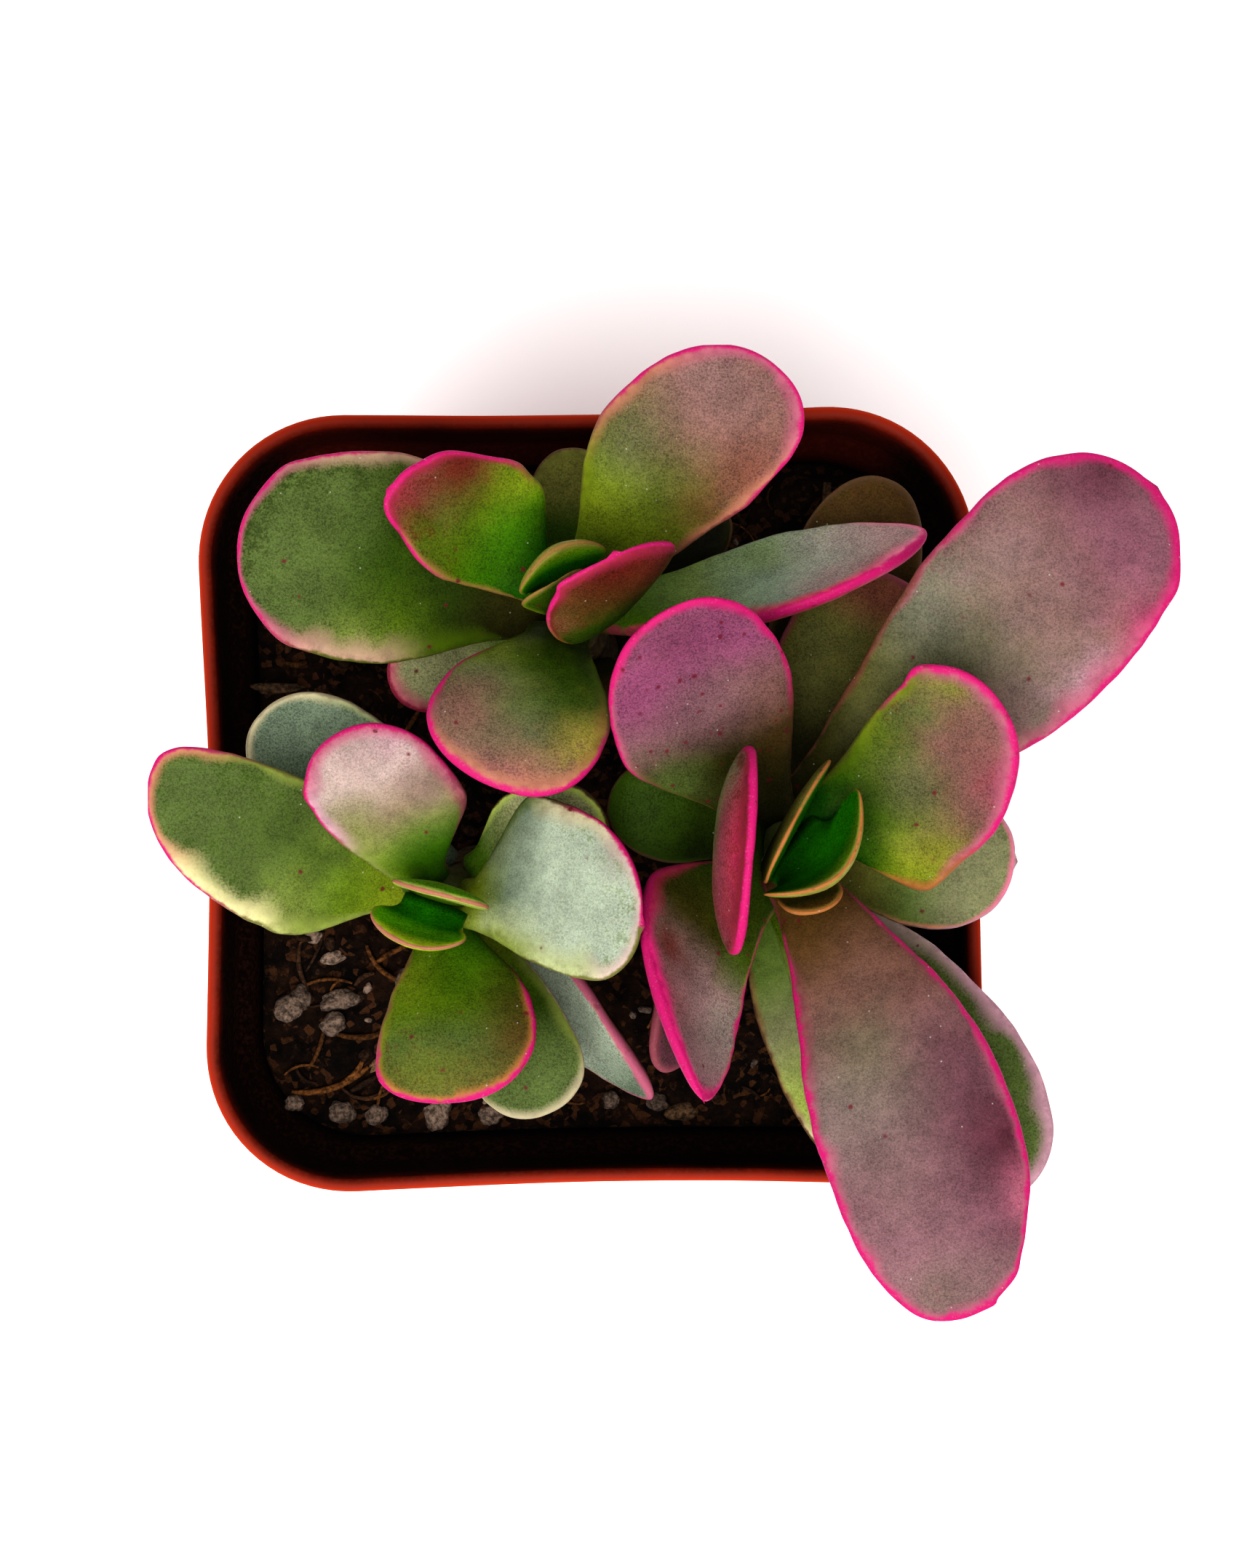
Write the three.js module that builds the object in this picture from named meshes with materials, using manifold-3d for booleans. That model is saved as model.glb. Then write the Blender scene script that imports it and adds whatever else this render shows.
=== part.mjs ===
// Potted rainbow jade plant: three leafy stems in a small square nursery pot
// Millimetres, +Z up. The origin is the centre of the pot's underside.

import * as THREE from 'three';
import Module from 'manifold-3d';
import { mergeVertices } from 'three/addons/utils/BufferGeometryUtils.js';

const wasm = await Module();
wasm.setup();

// Driving dimensions
const GAP = 0.3; // clearance between pieces that touch
const POT_HEIGHT = 58;
const POT_TOP = 64; // across the rim, side to side
const POT_TOP_CORNER = 12.5; // corner radius at the rim
const POT_TURN = 1; // degrees that the pot is turned from the axes
const POT_FOOT = 47;
const POT_FOOT_CORNER = 7.5;
const POT_WALL = 1.1;
const POT_FLOOR = 1.6;
const RIM_BAND = 7; // depth of the thicker band below the rim
const RIM_STEP = 0.9; // how far the band stands out
const RIM_SAG = [0.3, 0.5, 0.9, 0.8]; // how far the east, north, west and south sides bow in at the rim
const DRAIN_RADIUS = 3;
const DRAIN_SPACING = 16.5; // drain holes stand this far out from the centre, both ways
const DRAIN_PLACES = [[1, 1], [1, -1], [-1, 1], [-1, -1], [1, 0], [-1, 0], [0, 1], [0, -1]];
const FOOT_EDGE = 0.5; // rounding at the foot of the pot
const BAND_SLOPE = 0.8; // height of the slope below the band
const RIM_EDGE = 0.35; // rounding of the rim
const CORNER_STEPS = 6; // facets round a corner of the pot

const SOIL_LEVEL = 48.5;
const SOIL_SWELL = 0.5; // height of the soil's broad rises
const SOIL_LUMPS = 70;
const LUMP_RADIUS = [1.2, 3];
const LUMP_HEIGHT = [0.3, 1.4];
const SOIL_RINGS = 18; // rings of points from the soil's edge to its middle
const STEM_DEPTH = 14; // how far a stem goes into the soil

const LEAF_RINGS = 10; // cross-sections along a leaf
const LEAF_SIDES = 12; // points round a cross-section
const STEM_SIDES = 12;
const STEM_STEPS = 14;
const STEM_POINT = 0.55; // how much of its width a stem keeps at its top
const CUP_OPENS = 0.4; // share of a leaf's length over which its cup opens

// The three stems: where each leaves the soil, where it ends and its radius at both ends
const STEMS = {
  north: { soil: [-0.5, 12.5], apex: [-1.9, 15.9, 75.3], radius: [2.9, 1.2] },
  west: { soil: [-9.5, -6.5], apex: [-11.8, -8, 73.8], radius: [2.8, 1.3] },
  east: { soil: [12.5, -3.0], apex: [15.5, -3.4, 79.3], radius: [3.2, 1.5] },
};

// The leaves, youngest first on each stem.
// node: height where the leaf leaves its stem. tip: where it ends. left, right: greatest half-width seen
// from the stem, and how far along the leaf that is. faces: which way an upright leaf's back looks, in
// degrees. arch: how far the middle rises over the straight line to the tip. bow: how far it swings left.
// roll: how the blade is turned about its length near the stem and at the tip, left edge up.
// cup: how far the edges rise over the middle. blunt: 2 for a round end, less for a pointed one.
const LEAVES = {
  north: [
    {
      node: 76, tip: [-2.3, 19.2, 82], faces: 118, left: [3.6, 0.6], right: [3.8, 0.6],
      arch: -0.5, cup: 1.2, neck: 2.2, thick: 1.2,
    },
    {
      node: 76, tip: [-2.8, 16.5, 81.5], faces: -62, left: [2.7, 0.6], right: [2.8, 0.6],
      arch: 0, cup: 0.4, neck: 1.8, thick: 1,
    },
    {
      node: 73.5, tip: [-15, 23.6, 82], left: [3.7, 0.62], right: [6.6, 0.34],
      arch: -1.2, cup: 1.6, neck: 1.7, blunt: 2.6,
    },
    {
      node: 73.5, tip: [2.1, 18.5, 85.5], faces: -53, left: [6.2, 0.6], right: [5.6, 0.66],
      arch: -1.6, cup: 0.9, neck: 1.6, thick: 1.8,
    },
    {
      node: 70.5, tip: [14.8, 33, 80], left: [8, 0.55], right: [5.2, 0.8],
      arch: 1, cup: 0.8, neck: 2.4,
    },
    {
      node: 70.5, tip: [-5.8, 0.6, 81], left: [6, 0.62], right: [8, 0.66],
      arch: 1.6, cup: 0.4, neck: 2.6,
    },
    {
      node: 66.5, tip: [-27.3, 18.9, 74], left: [7.8, 0.6], right: [9, 0.54],
      arch: 1, bow: -1.2, cup: 0.6, neck: 2.8,
    },
    {
      node: 66.5, tip: [26.6, 21.3, 70], left: [5.5, 0.6], right: [6, 0.6],
      arch: 1, bow: -1.8, roll: [-50, -62], cup: 1.4, neck: 2.6, blunt: 1.8,
    },
    {
      node: 61, tip: [-15.9, 9.2, 66], left: [3.7, 0.6], right: [3.7, 0.6],
      arch: 0.6, neck: 2,
    },
    {
      node: 57, tip: [-1.5, 28.6, 60], left: [3.7, 0.6], right: [3.7, 0.6],
      arch: 0.6, neck: 2,
    },
    {
      node: 57, tip: [2, 8, 62], left: [2.6, 0.6], right: [2.6, 0.6],
      arch: 0.4, cup: 0.3, neck: 1.6, thick: 1.6,
    },
    {
      node: 55, tip: [11.1, 23.6, 59], left: [3.1, 0.6], right: [3.1, 0.6],
      arch: 0.6, neck: 2,
    },
  ],
  west: [
    {
      node: 74.5, tip: [-13.4, -11.1, 79.5], faces: -105, left: [3.5, 0.6], right: [4.2, 0.6],
      arch: -0.6, cup: 1, neck: 2.6, thick: 1.2,
    },
    {
      node: 74.5, tip: [-11, -7.2, 80.5], faces: 75, left: [3.9, 0.6], right: [3.9, 0.6],
      arch: -0.3, cup: 0.3, neck: 2.4, thick: 1.2,
    },
    {
      node: 72.5, tip: [-19.2, 5.2, 79], left: [4.6, 0.7], right: [6.4, 0.38],
      arch: 0.8, cup: 0.6, neck: 2,
    },
    {
      node: 71.5, tip: [4.2, -9.5, 81], left: [9, 0.38], right: [4.6, 0.78],
      arch: 0.8, cup: 0.6, neck: 2,
    },
    {
      node: 69.5, tip: [-9.9, -23.2, 78], left: [6.5, 0.6], right: [6.1, 0.82],
      arch: 1, cup: 0.6, neck: 2.4,
    },
    {
      node: 67, tip: [-33.5, 3, 76], left: [8.2, 0.43], right: [3.7, 0.5],
      arch: 1, cup: 0.8, neck: 2.4,
    },
    {
      node: 63.5, tip: [1.2, -0.8, 69], left: [4.8, 0.5], right: [4.8, 0.5],
      arch: 0.8, neck: 2.2,
    },
    {
      node: 63, tip: [-3.1, -24.9, 67], left: [4.5, 0.75], right: [4.6, 0.7],
      arch: 0.8, neck: 2.2,
    },
    {
      node: 60, tip: [-26.4, 6.8, 65], left: [4.9, 0.6], right: [6.2, 0.55],
      arch: 0.8, neck: 2.2,
    },
    {
      node: 57, tip: [5.1, -24.1, 62], left: [4.4, 0.55], right: [3.4, 0.55],
      arch: 0.8, roll: [35, 62], cup: 1, neck: 2, blunt: 1.7,
    },
  ],
  east: [
    {
      node: 80, tip: [19.2, -5.2, 87.5], faces: -42, left: [5.7, 0.7], right: [5, 0.7],
      arch: -0.8, cup: 3, neck: 3, thick: 1.3,
    },
    {
      node: 80, tip: [16, -0.5, 88.5], faces: 151, left: [5.2, 0.6], right: [5.6, 0.6],
      arch: 0, cup: 0.3, neck: 2.8, thick: 1.2,
    },
    {
      node: 77.5, tip: [31.1, 7.3, 87], left: [5.4, 0.78], right: [8.8, 0.3],
      arch: -0.6, cup: 1, neck: 2,
    },
    {
      node: 77.5, tip: [12.3, -3.6, 90], faces: 176, left: [8.2, 0.6], right: [7.6, 0.6],
      arch: -1.6, cup: 1, neck: 1.8,
    },
    {
      node: 74.5, tip: [27.5, -39.4, 83], left: [8, 0.63], right: [7.3, 0.58],
      arch: 2.5, bow: 2.2, cup: 0.6, neck: 2.4, thick: 2.8,
    },
    {
      node: 74.5, tip: [6.6, 14.6, 87], left: [8.4, 0.48], right: [6.2, 0.6],
      arch: -1, cup: 0.6, neck: 2.4,
    },
    {
      node: 71, tip: [43.6, 24, 79], left: [8.6, 0.74], right: [8.6, 0.64],
      arch: 2.5, cup: 0.8, neck: 2.8, thick: 2.8,
    },
    {
      node: 71, tip: [8.8, -22.5, 84], left: [3.8, 0.72], right: [7.4, 0.3],
      arch: -1, bow: -2.6, roll: [-10, -50], cup: 1, neck: 2.4, blunt: 1.7,
    },
    {
      node: 77.2, tip: [17.8, -8.3, 83], faces: -76, left: [2.5, 0.6], right: [2.5, 0.6],
      arch: -0.4, neck: 0.9, thick: 1,
    },
    {
      node: 65.5, tip: [33.6, -4.8, 70], left: [6.3, 0.6], right: [5.9, 0.6],
      arch: 1, cup: 0.6, neck: 2.4,
    },
    {
      node: 65.5, tip: [1.6, 0.2, 68], left: [3.8, 0.5], right: [4.2, 0.5],
      arch: 0.6, cup: 0.6, neck: 2.4,
    },
    {
      node: 61, tip: [34.3, -31.2, 68], left: [7.4, 0.65], right: [8, 0.65],
      arch: 1.5, cup: 0.6, neck: 2.6,
    },
    {
      node: 64, tip: [25, 17.6, 66], left: [6.5, 0.65], right: [5.1, 0.5],
      arch: 1, cup: 0.6, neck: 2.4,
    },
    {
      node: 53.5, tip: [22.4, -30.2, 62], left: [5.4, 0.6], right: [4.3, 0.5],
      arch: 1, neck: 2.4,
    },
    {
      node: 57, tip: [5.6, -21.6, 65], left: [3.1, 0.6], right: [4.1, 0.6],
      arch: 0.6, roll: [-20, -50], cup: 0.8, neck: 2,
    },
    {
      node: 58, tip: [24.2, 26, 61], left: [5.3, 0.65], right: [5.3, 0.65],
      arch: 1, neck: 2.4,
    },
  ],
};

const LEAF_DEFAULTS = { thick: 2.4, cup: 0.5, arch: 0, bow: 0, roll: [0, 0], neck: 2.2, blunt: 2.2 };

const potColour = new THREE.MeshStandardMaterial({ color: 0xb8391c, roughness: 0.45, metalness: 0 });
const soilColour = new THREE.MeshStandardMaterial({ color: 0x241812, roughness: 0.95, metalness: 0 });
const stemColour = new THREE.MeshStandardMaterial({ color: 0x7d7a4a, roughness: 0.7, metalness: 0 });
const leafGreen = new THREE.MeshStandardMaterial({ color: 0x6f8f4e, roughness: 0.4, metalness: 0 });

const radians = THREE.MathUtils.degToRad;
const lerp = THREE.MathUtils.lerp;
const UP = new THREE.Vector3(0, 0, 1);
const smooth = (t) => THREE.MathUtils.smoothstep(t, 0, 1);

// A seeded random number, the same in every run
function seededRandom(seed) {
  let state = seed;
  return () => {
    state = (state * 16807) % 2147483647;
    return state / 2147483647;
  };
}

// One closed body from rings of points, each with the same count, closed by a fan at both ends
function loft(rings) {
  const count = rings[0].length;
  const positions = [];
  const triangles = [];
  const middle = (ring) => ring.reduce((sum, p) => sum.add(p), new THREE.Vector3()).divideScalar(count);
  for (const ring of rings) {
    for (const p of ring) positions.push(p.x, p.y, p.z);
  }
  for (let i = 0; i + 1 < rings.length; i += 1) {
    for (let j = 0; j < count; j += 1) {
      const a = i * count + j;
      const b = i * count + ((j + 1) % count);
      triangles.push(a, b, b + count);
      triangles.push(a, b + count, a + count);
    }
  }
  const first = middle(rings[0]);
  const last = middle(rings[rings.length - 1]);
  const firstIndex = positions.length / 3;
  positions.push(first.x, first.y, first.z, last.x, last.y, last.z);
  const top = (rings.length - 1) * count;
  for (let j = 0; j < count; j += 1) {
    const next = (j + 1) % count;
    triangles.push(firstIndex, next, j);
    triangles.push(firstIndex + 1, top + j, top + next);
  }
  const geometry = new THREE.BufferGeometry();
  geometry.setAttribute('position', new THREE.Float32BufferAttribute(positions, 3));
  geometry.setIndex(triangles);
  geometry.computeVertexNormals();
  return geometry;
}

// Cutting and joining
function toSolid(geometry) {
  const bare = geometry.clone();
  bare.deleteAttribute('normal');
  bare.deleteAttribute('uv');
  const merged = mergeVertices(bare, 1e-4);
  const vertProperties = new Float32Array(merged.attributes.position.array);
  const triVerts = new Uint32Array(merged.index.array);
  return new wasm.Manifold(new wasm.Mesh({ numProp: 3, vertProperties, triVerts }));
}

function toGeometry(solid) {
  const mesh = solid.getMesh();
  const geometry = new THREE.BufferGeometry();
  geometry.setAttribute('position', new THREE.Float32BufferAttribute(mesh.vertProperties, 3));
  geometry.setIndex(Array.from(mesh.triVerts));
  geometry.computeVertexNormals();
  return geometry;
}

function uprightCylinder(x, y, low, high, radius, sides) {
  const geometry = new THREE.CylinderGeometry(radius, radius, high - low, sides);
  geometry.rotateX(Math.PI / 2);
  geometry.translate(x, y, (low + high) / 2);
  return geometry;
}

// Stems
function stemPoint(stem, z) {
  const t = (z - SOIL_LEVEL) / (stem.apex[2] - SOIL_LEVEL);
  return new THREE.Vector3(lerp(stem.soil[0], stem.apex[0], t), lerp(stem.soil[1], stem.apex[1], t), z);
}

function stemRadius(stem, z) {
  const t = (z - SOIL_LEVEL) / (stem.apex[2] - SOIL_LEVEL);
  return t > 1 ? 0 : lerp(stem.radius[0], stem.radius[1], Math.max(t, 0));
}

function stemGeometry(stem, allowance = 0) {
  const bottom = SOIL_LEVEL - STEM_DEPTH - allowance;
  const rings = [];
  for (let i = 0; i <= STEM_STEPS; i += 1) {
    const z = lerp(bottom, stem.apex[2], i / STEM_STEPS);
    const taper = i === STEM_STEPS ? STEM_POINT : 1;
    const centre = stemPoint(stem, z);
    const radius = stemRadius(stem, z) * taper + allowance;
    const ring = [];
    for (let j = 0; j < STEM_SIDES; j += 1) {
      const angle = (2 * Math.PI * j) / STEM_SIDES;
      const x = centre.x + radius * Math.cos(angle);
      const y = centre.y + radius * Math.sin(angle);
      ring.push(new THREE.Vector3(x, y, z));
    }
    rings.push(ring);
  }
  return loft(rings);
}

// Leaves
function widthShare(t, widest, neck, blunt) {
  if (t < widest) {
    const rise = Math.sin((Math.PI / 2) * (t / widest)) ** 1.5;
    return neck + (1 - neck) * rise;
  }
  const fall = (t - widest) / (1 - widest);
  return Math.max(0, 1 - fall ** blunt) ** (1 / blunt);
}

function leafFrame(stem, given) {
  const leaf = { ...LEAF_DEFAULTS, ...given };
  const tip = new THREE.Vector3(...leaf.tip);
  const centre = stemPoint(stem, leaf.node);
  const heading = 'faces' in leaf ? radians(leaf.faces) : Math.atan2(tip.y - centre.y, tip.x - centre.x);
  const out = new THREE.Vector3(Math.cos(heading), Math.sin(heading), 0);
  const side = new THREE.Vector3(-out.y, out.x, 0);
  let root = centre;
  let over = new THREE.Vector3(0, 0, 1);
  const spine = (t) => {
    const bulge = 4 * t * (1 - t);
    const point = root.clone().lerp(tip, t);
    return point.addScaledVector(over, leaf.arch * bulge).addScaledVector(side, leaf.bow * bulge);
  };
  for (let pass = 0; pass < 3; pass += 1) {
    const start = spine(0.02).sub(spine(0)).normalize();
    const clearance = stemRadius(stem, leaf.node) + GAP + (Math.abs(start.z) * leaf.thick) / 2;
    root = centre.clone().addScaledVector(out, clearance);
    over = tip.clone().sub(root).normalize().cross(side).normalize();
  }
  return { leaf, spine, side };
}

function leafGeometry(stem, given) {
  const { leaf, spine, side } = leafFrame(stem, given);
  const sections = [];
  for (let i = 0; i < LEAF_RINGS; i += 1) {
    const step = i / LEAF_RINGS;
    const t = lerp(step, Math.sin((Math.PI / 2) * step), 0.55); // closer together towards the tip
    const centre = spine(t);
    const along = spine(t + 0.01).sub(spine(t - 0.01)).normalize();
    const flat = side.clone().addScaledVector(along, -side.dot(along)).normalize();
    const up = along.clone().cross(flat);
    const turn = radians(lerp(leaf.roll[0], leaf.roll[1], smooth(t)));
    const across = flat.clone().multiplyScalar(Math.cos(turn)).addScaledVector(up, Math.sin(turn));
    const normal = up.multiplyScalar(Math.cos(turn)).addScaledVector(flat, -Math.sin(turn));
    const half = [leaf.left, leaf.right].map(([width, widest]) => {
      return width * widthShare(t, widest, leaf.neck / width, leaf.blunt);
    });
    const thick = (leaf.thick / 2) * Math.sqrt(1 - t ** 5);
    const ring = [];
    for (let j = 0; j < LEAF_SIDES; j += 1) {
      const angle = (2 * Math.PI * j) / LEAF_SIDES;
      const [reach, width] = Math.cos(angle) > 0 ? [half[0], leaf.left[0]] : [half[1], leaf.right[0]];
      const lateral = Math.cos(angle) * reach;
      const lift = leaf.cup * (lateral / width) ** 2 * smooth(t / CUP_OPENS);
      const point = centre.clone().addScaledVector(across, lateral);
      ring.push(point.addScaledVector(normal, lift + thick * Math.sin(angle)));
    }
    sections.push(ring);
  }
  const geometry = loft(sections);
  const points = geometry.attributes.position;
  const end = spine(1);
  points.setXYZ(points.count - 1, end.x, end.y, end.z);
  return geometry;
}

// Pot: one thin wall with a floor, a thicker band below the rim and drain holes
function roundedSquare(half, corner, z, sag) {
  const straight = half - corner;
  const quarterSide = [];
  for (const share of [-1, -0.6, -0.2, 0.2, 0.6]) {
    quarterSide.push([half, straight * share]);
  }
  for (let k = 0; k < CORNER_STEPS; k += 1) {
    const angle = (Math.PI / 2) * (k / CORNER_STEPS);
    quarterSide.push([straight + corner * Math.cos(angle), straight + corner * Math.sin(angle)]);
  }
  const [east, north, west, south] = sag;
  const slack = (offset) => (1 - (offset / half) ** 2) ** 2;
  const ring = [];
  for (let quarter = 0; quarter < 4; quarter += 1) {
    for (const [x, y] of quarterSide) {
      const point = new THREE.Vector3(x, y, z).applyAxisAngle(UP, (quarter * Math.PI) / 2);
      const pullX = (point.x > 0 ? -east : west) * Math.abs(point.x / half) * slack(point.y);
      const pullY = (point.y > 0 ? -north : south) * Math.abs(point.y / half) * slack(point.x);
      ring.push(point.add(new THREE.Vector3(pullX, pullY, 0)).applyAxisAngle(UP, radians(POT_TURN)));
    }
  }
  return ring;
}

function potRing(z, inset) {
  const t = z / POT_HEIGHT;
  const sag = RIM_SAG.map((depth) => depth * t ** 3);
  const corner = lerp(POT_FOOT_CORNER, POT_TOP_CORNER, t) - inset;
  return roundedSquare(lerp(POT_FOOT, POT_TOP, t) / 2 - inset, corner, z, sag);
}

function potGeometry() {
  const band = POT_HEIGHT - RIM_BAND;
  const wall = RIM_STEP + POT_WALL;
  const shell = loft([
    potRing(0, RIM_STEP + FOOT_EDGE),
    potRing(FOOT_EDGE, RIM_STEP),
    potRing(band - BAND_SLOPE, RIM_STEP),
    potRing(band, 0),
    potRing(POT_HEIGHT - RIM_EDGE, 0),
    potRing(POT_HEIGHT, RIM_EDGE),
    potRing(POT_HEIGHT, POT_WALL - RIM_EDGE),
    potRing(POT_HEIGHT - RIM_EDGE, POT_WALL),
    potRing(band, POT_WALL),
    potRing(band - BAND_SLOPE, wall),
    potRing(POT_FLOOR + FOOT_EDGE, wall),
    potRing(POT_FLOOR, wall + FOOT_EDGE),
  ]);
  let solid = toSolid(shell);
  for (const [x, y] of DRAIN_PLACES) {
    const [holeX, holeY] = [x * DRAIN_SPACING, y * DRAIN_SPACING];
    solid = solid.subtract(toSolid(uprightCylinder(holeX, holeY, -1, POT_FLOOR + 1, DRAIN_RADIUS, 16)));
  }
  return toGeometry(solid);
}

// Soil: fills the pot, with lumps raised on its top and a plain hole for each stem
function soilHeight() {
  const random = seededRandom(41);
  const reach = POT_TOP / 2 - POT_WALL - RIM_STEP - LUMP_RADIUS[1];
  const lumps = Array.from({ length: SOIL_LUMPS }, () => ({
    x: (2 * random() - 1) * reach,
    y: (2 * random() - 1) * reach,
    radius: lerp(...LUMP_RADIUS, random()),
    height: lerp(...LUMP_HEIGHT, random() ** 2),
  }));
  return (x, y) => {
    let z = SOIL_LEVEL + SOIL_SWELL * Math.sin(0.21 * x + 1.1) * Math.cos(0.17 * y);
    for (const lump of lumps) {
      const distance = Math.hypot(x - lump.x, y - lump.y) / lump.radius;
      if (distance < 1) z += lump.height * (1 - distance ** 2) ** 1.5;
    }
    return z;
  };
}

function soilGeometry() {
  const height = soilHeight();
  const inset = RIM_STEP + POT_WALL + GAP + 0.15; // the extra keeps the flat facets clear of the wall
  const foot = POT_FLOOR + GAP;
  const edge = potRing(SOIL_LEVEL - 1, inset);
  const rings = [potRing(foot, inset + 2 * FOOT_EDGE), potRing(foot + 2 * FOOT_EDGE, inset), edge];
  for (let i = 1; i < SOIL_RINGS; i += 1) {
    const share = 1 - i / SOIL_RINGS;
    rings.push(edge.map((p) => {
      const [x, y] = [p.x * share, p.y * share];
      return new THREE.Vector3(x, y, height(x, y));
    }));
  }
  let solid = toSolid(loft(rings));
  for (const stem of Object.values(STEMS)) {
    solid = solid.subtract(toSolid(stemGeometry(stem, GAP + 0.05)));
  }
  return toGeometry(solid);
}

const group = new THREE.Group();

function add(name, geometry, material) {
  const mesh = new THREE.Mesh(geometry, material.clone());
  mesh.name = name;
  group.add(mesh);
}

add('pot', potGeometry(), potColour);
add('soil', soilGeometry(), soilColour);
for (const [side, stem] of Object.entries(STEMS)) {
  add(`stem_${side}`, stemGeometry(stem), stemColour);
  LEAVES[side].forEach((leaf, index) => {
    const number = String(index + 1).padStart(2, '0');
    add(`leaf_${side}_${number}`, leafGeometry(stem, leaf), leafGreen);
  });
}

export default group;
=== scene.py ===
# Potted rainbow jade plant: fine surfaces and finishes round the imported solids
# Lengths and places are in millimetres, and MM turns them into metres where a mesh is made.

import math
from itertools import product

import bpy
import bmesh
import numpy as np
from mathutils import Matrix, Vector, noise


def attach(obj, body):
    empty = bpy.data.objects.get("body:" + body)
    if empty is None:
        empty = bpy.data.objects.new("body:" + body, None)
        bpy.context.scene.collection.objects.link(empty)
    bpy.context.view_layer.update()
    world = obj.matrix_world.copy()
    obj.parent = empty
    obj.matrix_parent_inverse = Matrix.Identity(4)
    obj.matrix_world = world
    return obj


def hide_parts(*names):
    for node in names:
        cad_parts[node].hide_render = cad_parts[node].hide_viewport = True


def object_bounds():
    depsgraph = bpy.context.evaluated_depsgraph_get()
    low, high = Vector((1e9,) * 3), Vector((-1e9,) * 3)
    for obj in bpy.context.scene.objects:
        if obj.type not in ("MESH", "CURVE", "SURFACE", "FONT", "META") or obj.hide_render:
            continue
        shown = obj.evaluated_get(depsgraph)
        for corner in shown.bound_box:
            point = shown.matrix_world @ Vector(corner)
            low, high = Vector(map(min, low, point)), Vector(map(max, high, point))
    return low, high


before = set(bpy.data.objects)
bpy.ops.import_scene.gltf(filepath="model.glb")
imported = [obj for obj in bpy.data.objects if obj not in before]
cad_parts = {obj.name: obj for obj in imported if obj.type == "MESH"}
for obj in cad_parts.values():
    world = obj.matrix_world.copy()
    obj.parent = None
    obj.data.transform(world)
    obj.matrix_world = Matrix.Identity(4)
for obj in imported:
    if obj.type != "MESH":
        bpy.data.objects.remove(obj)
cad_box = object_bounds()

MM = 0.001

# Driving dimensions, as in the solids
GAP = 0.3
POT_HEIGHT = 58
POT_TOP = 64
POT_TOP_CORNER = 12.5
POT_TURN = math.radians(1)
POT_FOOT = 47
POT_FOOT_CORNER = 7.5
POT_WALL = 1.1
POT_FLOOR = 1.6
RIM_BAND = 7
RIM_STEP = 0.9
RIM_SAG = (0.3, 0.5, 0.9, 0.8)  # east, north, west and south
DRAIN_RADIUS = 3
DRAIN_SPACING = 16.5
SOIL_LEVEL = 48.5
SOIL_SWELL = 0.5
SOIL_LUMPS = 70
LUMP_RADIUS = (1.2, 3)
LUMP_HEIGHT = (0.3, 1.4)
STEM_DEPTH = 14
CUP_OPENS = 0.4

# Sizes of the finer forms that the solids leave out
RIM_ROUND = 0.35
STEM_DOME = 1.5
STEM_WAIST = 0.1
NODE_SWELL = 0.16
NODE_LENGTH = 0.7
ROOT_SINK = 0.5

# Seeds of the random draws
SOIL_SEED = 41
STONE_SEED = 7
FIBRE_SEED = 11

# How bright a white face that looks up is under the studio light, against white on the screen
LIGHT_LEVEL = 1.7
# The contrast look is close to a power curve round a middle grey
LOOK_GREY = 0.18
LOOK_POWER = 1.33
# The painted colours of a leaf give back no more than this share of the light
PALEST = 0.8
# Share of the cells of a fully spotted leaf that hold a dot
SPOTTED_CELLS = 0.3

# Fineness of the surfaces
LEAF_RINGS = 80
LEAF_SIDES = 52
STEM_SIDES = 40
STEM_STEPS = 90
POT_STRAIGHT_POINTS = 14
POT_CORNER_POINTS = 20
FIBRE_STEPS = 14
FIBRE_SIDES = 7
STONE_FINENESS = 3
SOIL_RINGS = 90
SOIL_STRAIGHT_POINTS = 34
SOIL_CORNER_POINTS = 26

# Bits on the soil: place, length, width and turn in degrees
SOIL_REACH = 25.5
STREWN_STONES = 170
STREWN_FIBRES = 260
PUMICE = (
    (-25.2, -17.6, 2.5, 2.1, 30), (-24.3, -16.6, 2.2, 1.9, 80), (-21, -16.8, 3.6, 1.9, 10),
    (-21.5, -18.8, 2.2, 2, 0), (-21.5, -13.2, 2.1, 1.2, 20), (-15.6, -14.9, 1.6, 1.3, 60),
    (-23.2, -11.5, 1.5, 1.1, 0), (-13.3, -24.6, 1.6, 1.3, 0), (-12.8, -26.2, 3.4, 2.3, 80),
    (-20.8, -26.2, 2.1, 1.9, 0), (-17.9, -26.4, 2.1, 1.7, 40), (-24.8, -25.4, 1.7, 1.4, 0),
    (-8.3, -26.4, 2.2, 1.8, 0), (5.5, -25.4, 1.8, 1.5, 0), (1.7, -25.2, 1.7, 1.4, 50),
    (-27, 20.5, 1.6, 1.2, 0),
)
CHIPS = (
    (-26.4, 9.3, 4.4, 1, 4), (7.7, -26.2, 2.7, 1.5, 10), (-17.4, -21.8, 3, 0.9, 35),
    (-10.6, -19.4, 2.6, 1, -30),
)
# Fibres: place, length, turn, bend in degrees, radius and colour
FIBRES = (
    (-21.7, -23.9, 7.5, 16, 50, 0.3, "fibre"), (-17, -14.2, 6, -40, 80, 0.24, "fibre"),
    (-13.2, -17, 7, 50, -70, 0.26, "fibre"), (-18.8, -19.6, 6, 5, 60, 0.28, "fibre"),
    (-12.4, -21.8, 6.5, -20, -50, 0.22, "fibre"), (-22.8, -20.6, 5, 70, 40, 0.2, "fibre"),
    (19.7, 25.2, 5.4, 86, 6, 0.4, "bark tan"), (-4, -24.4, 6, 12, 60, 0.24, "fibre"),
)

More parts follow.
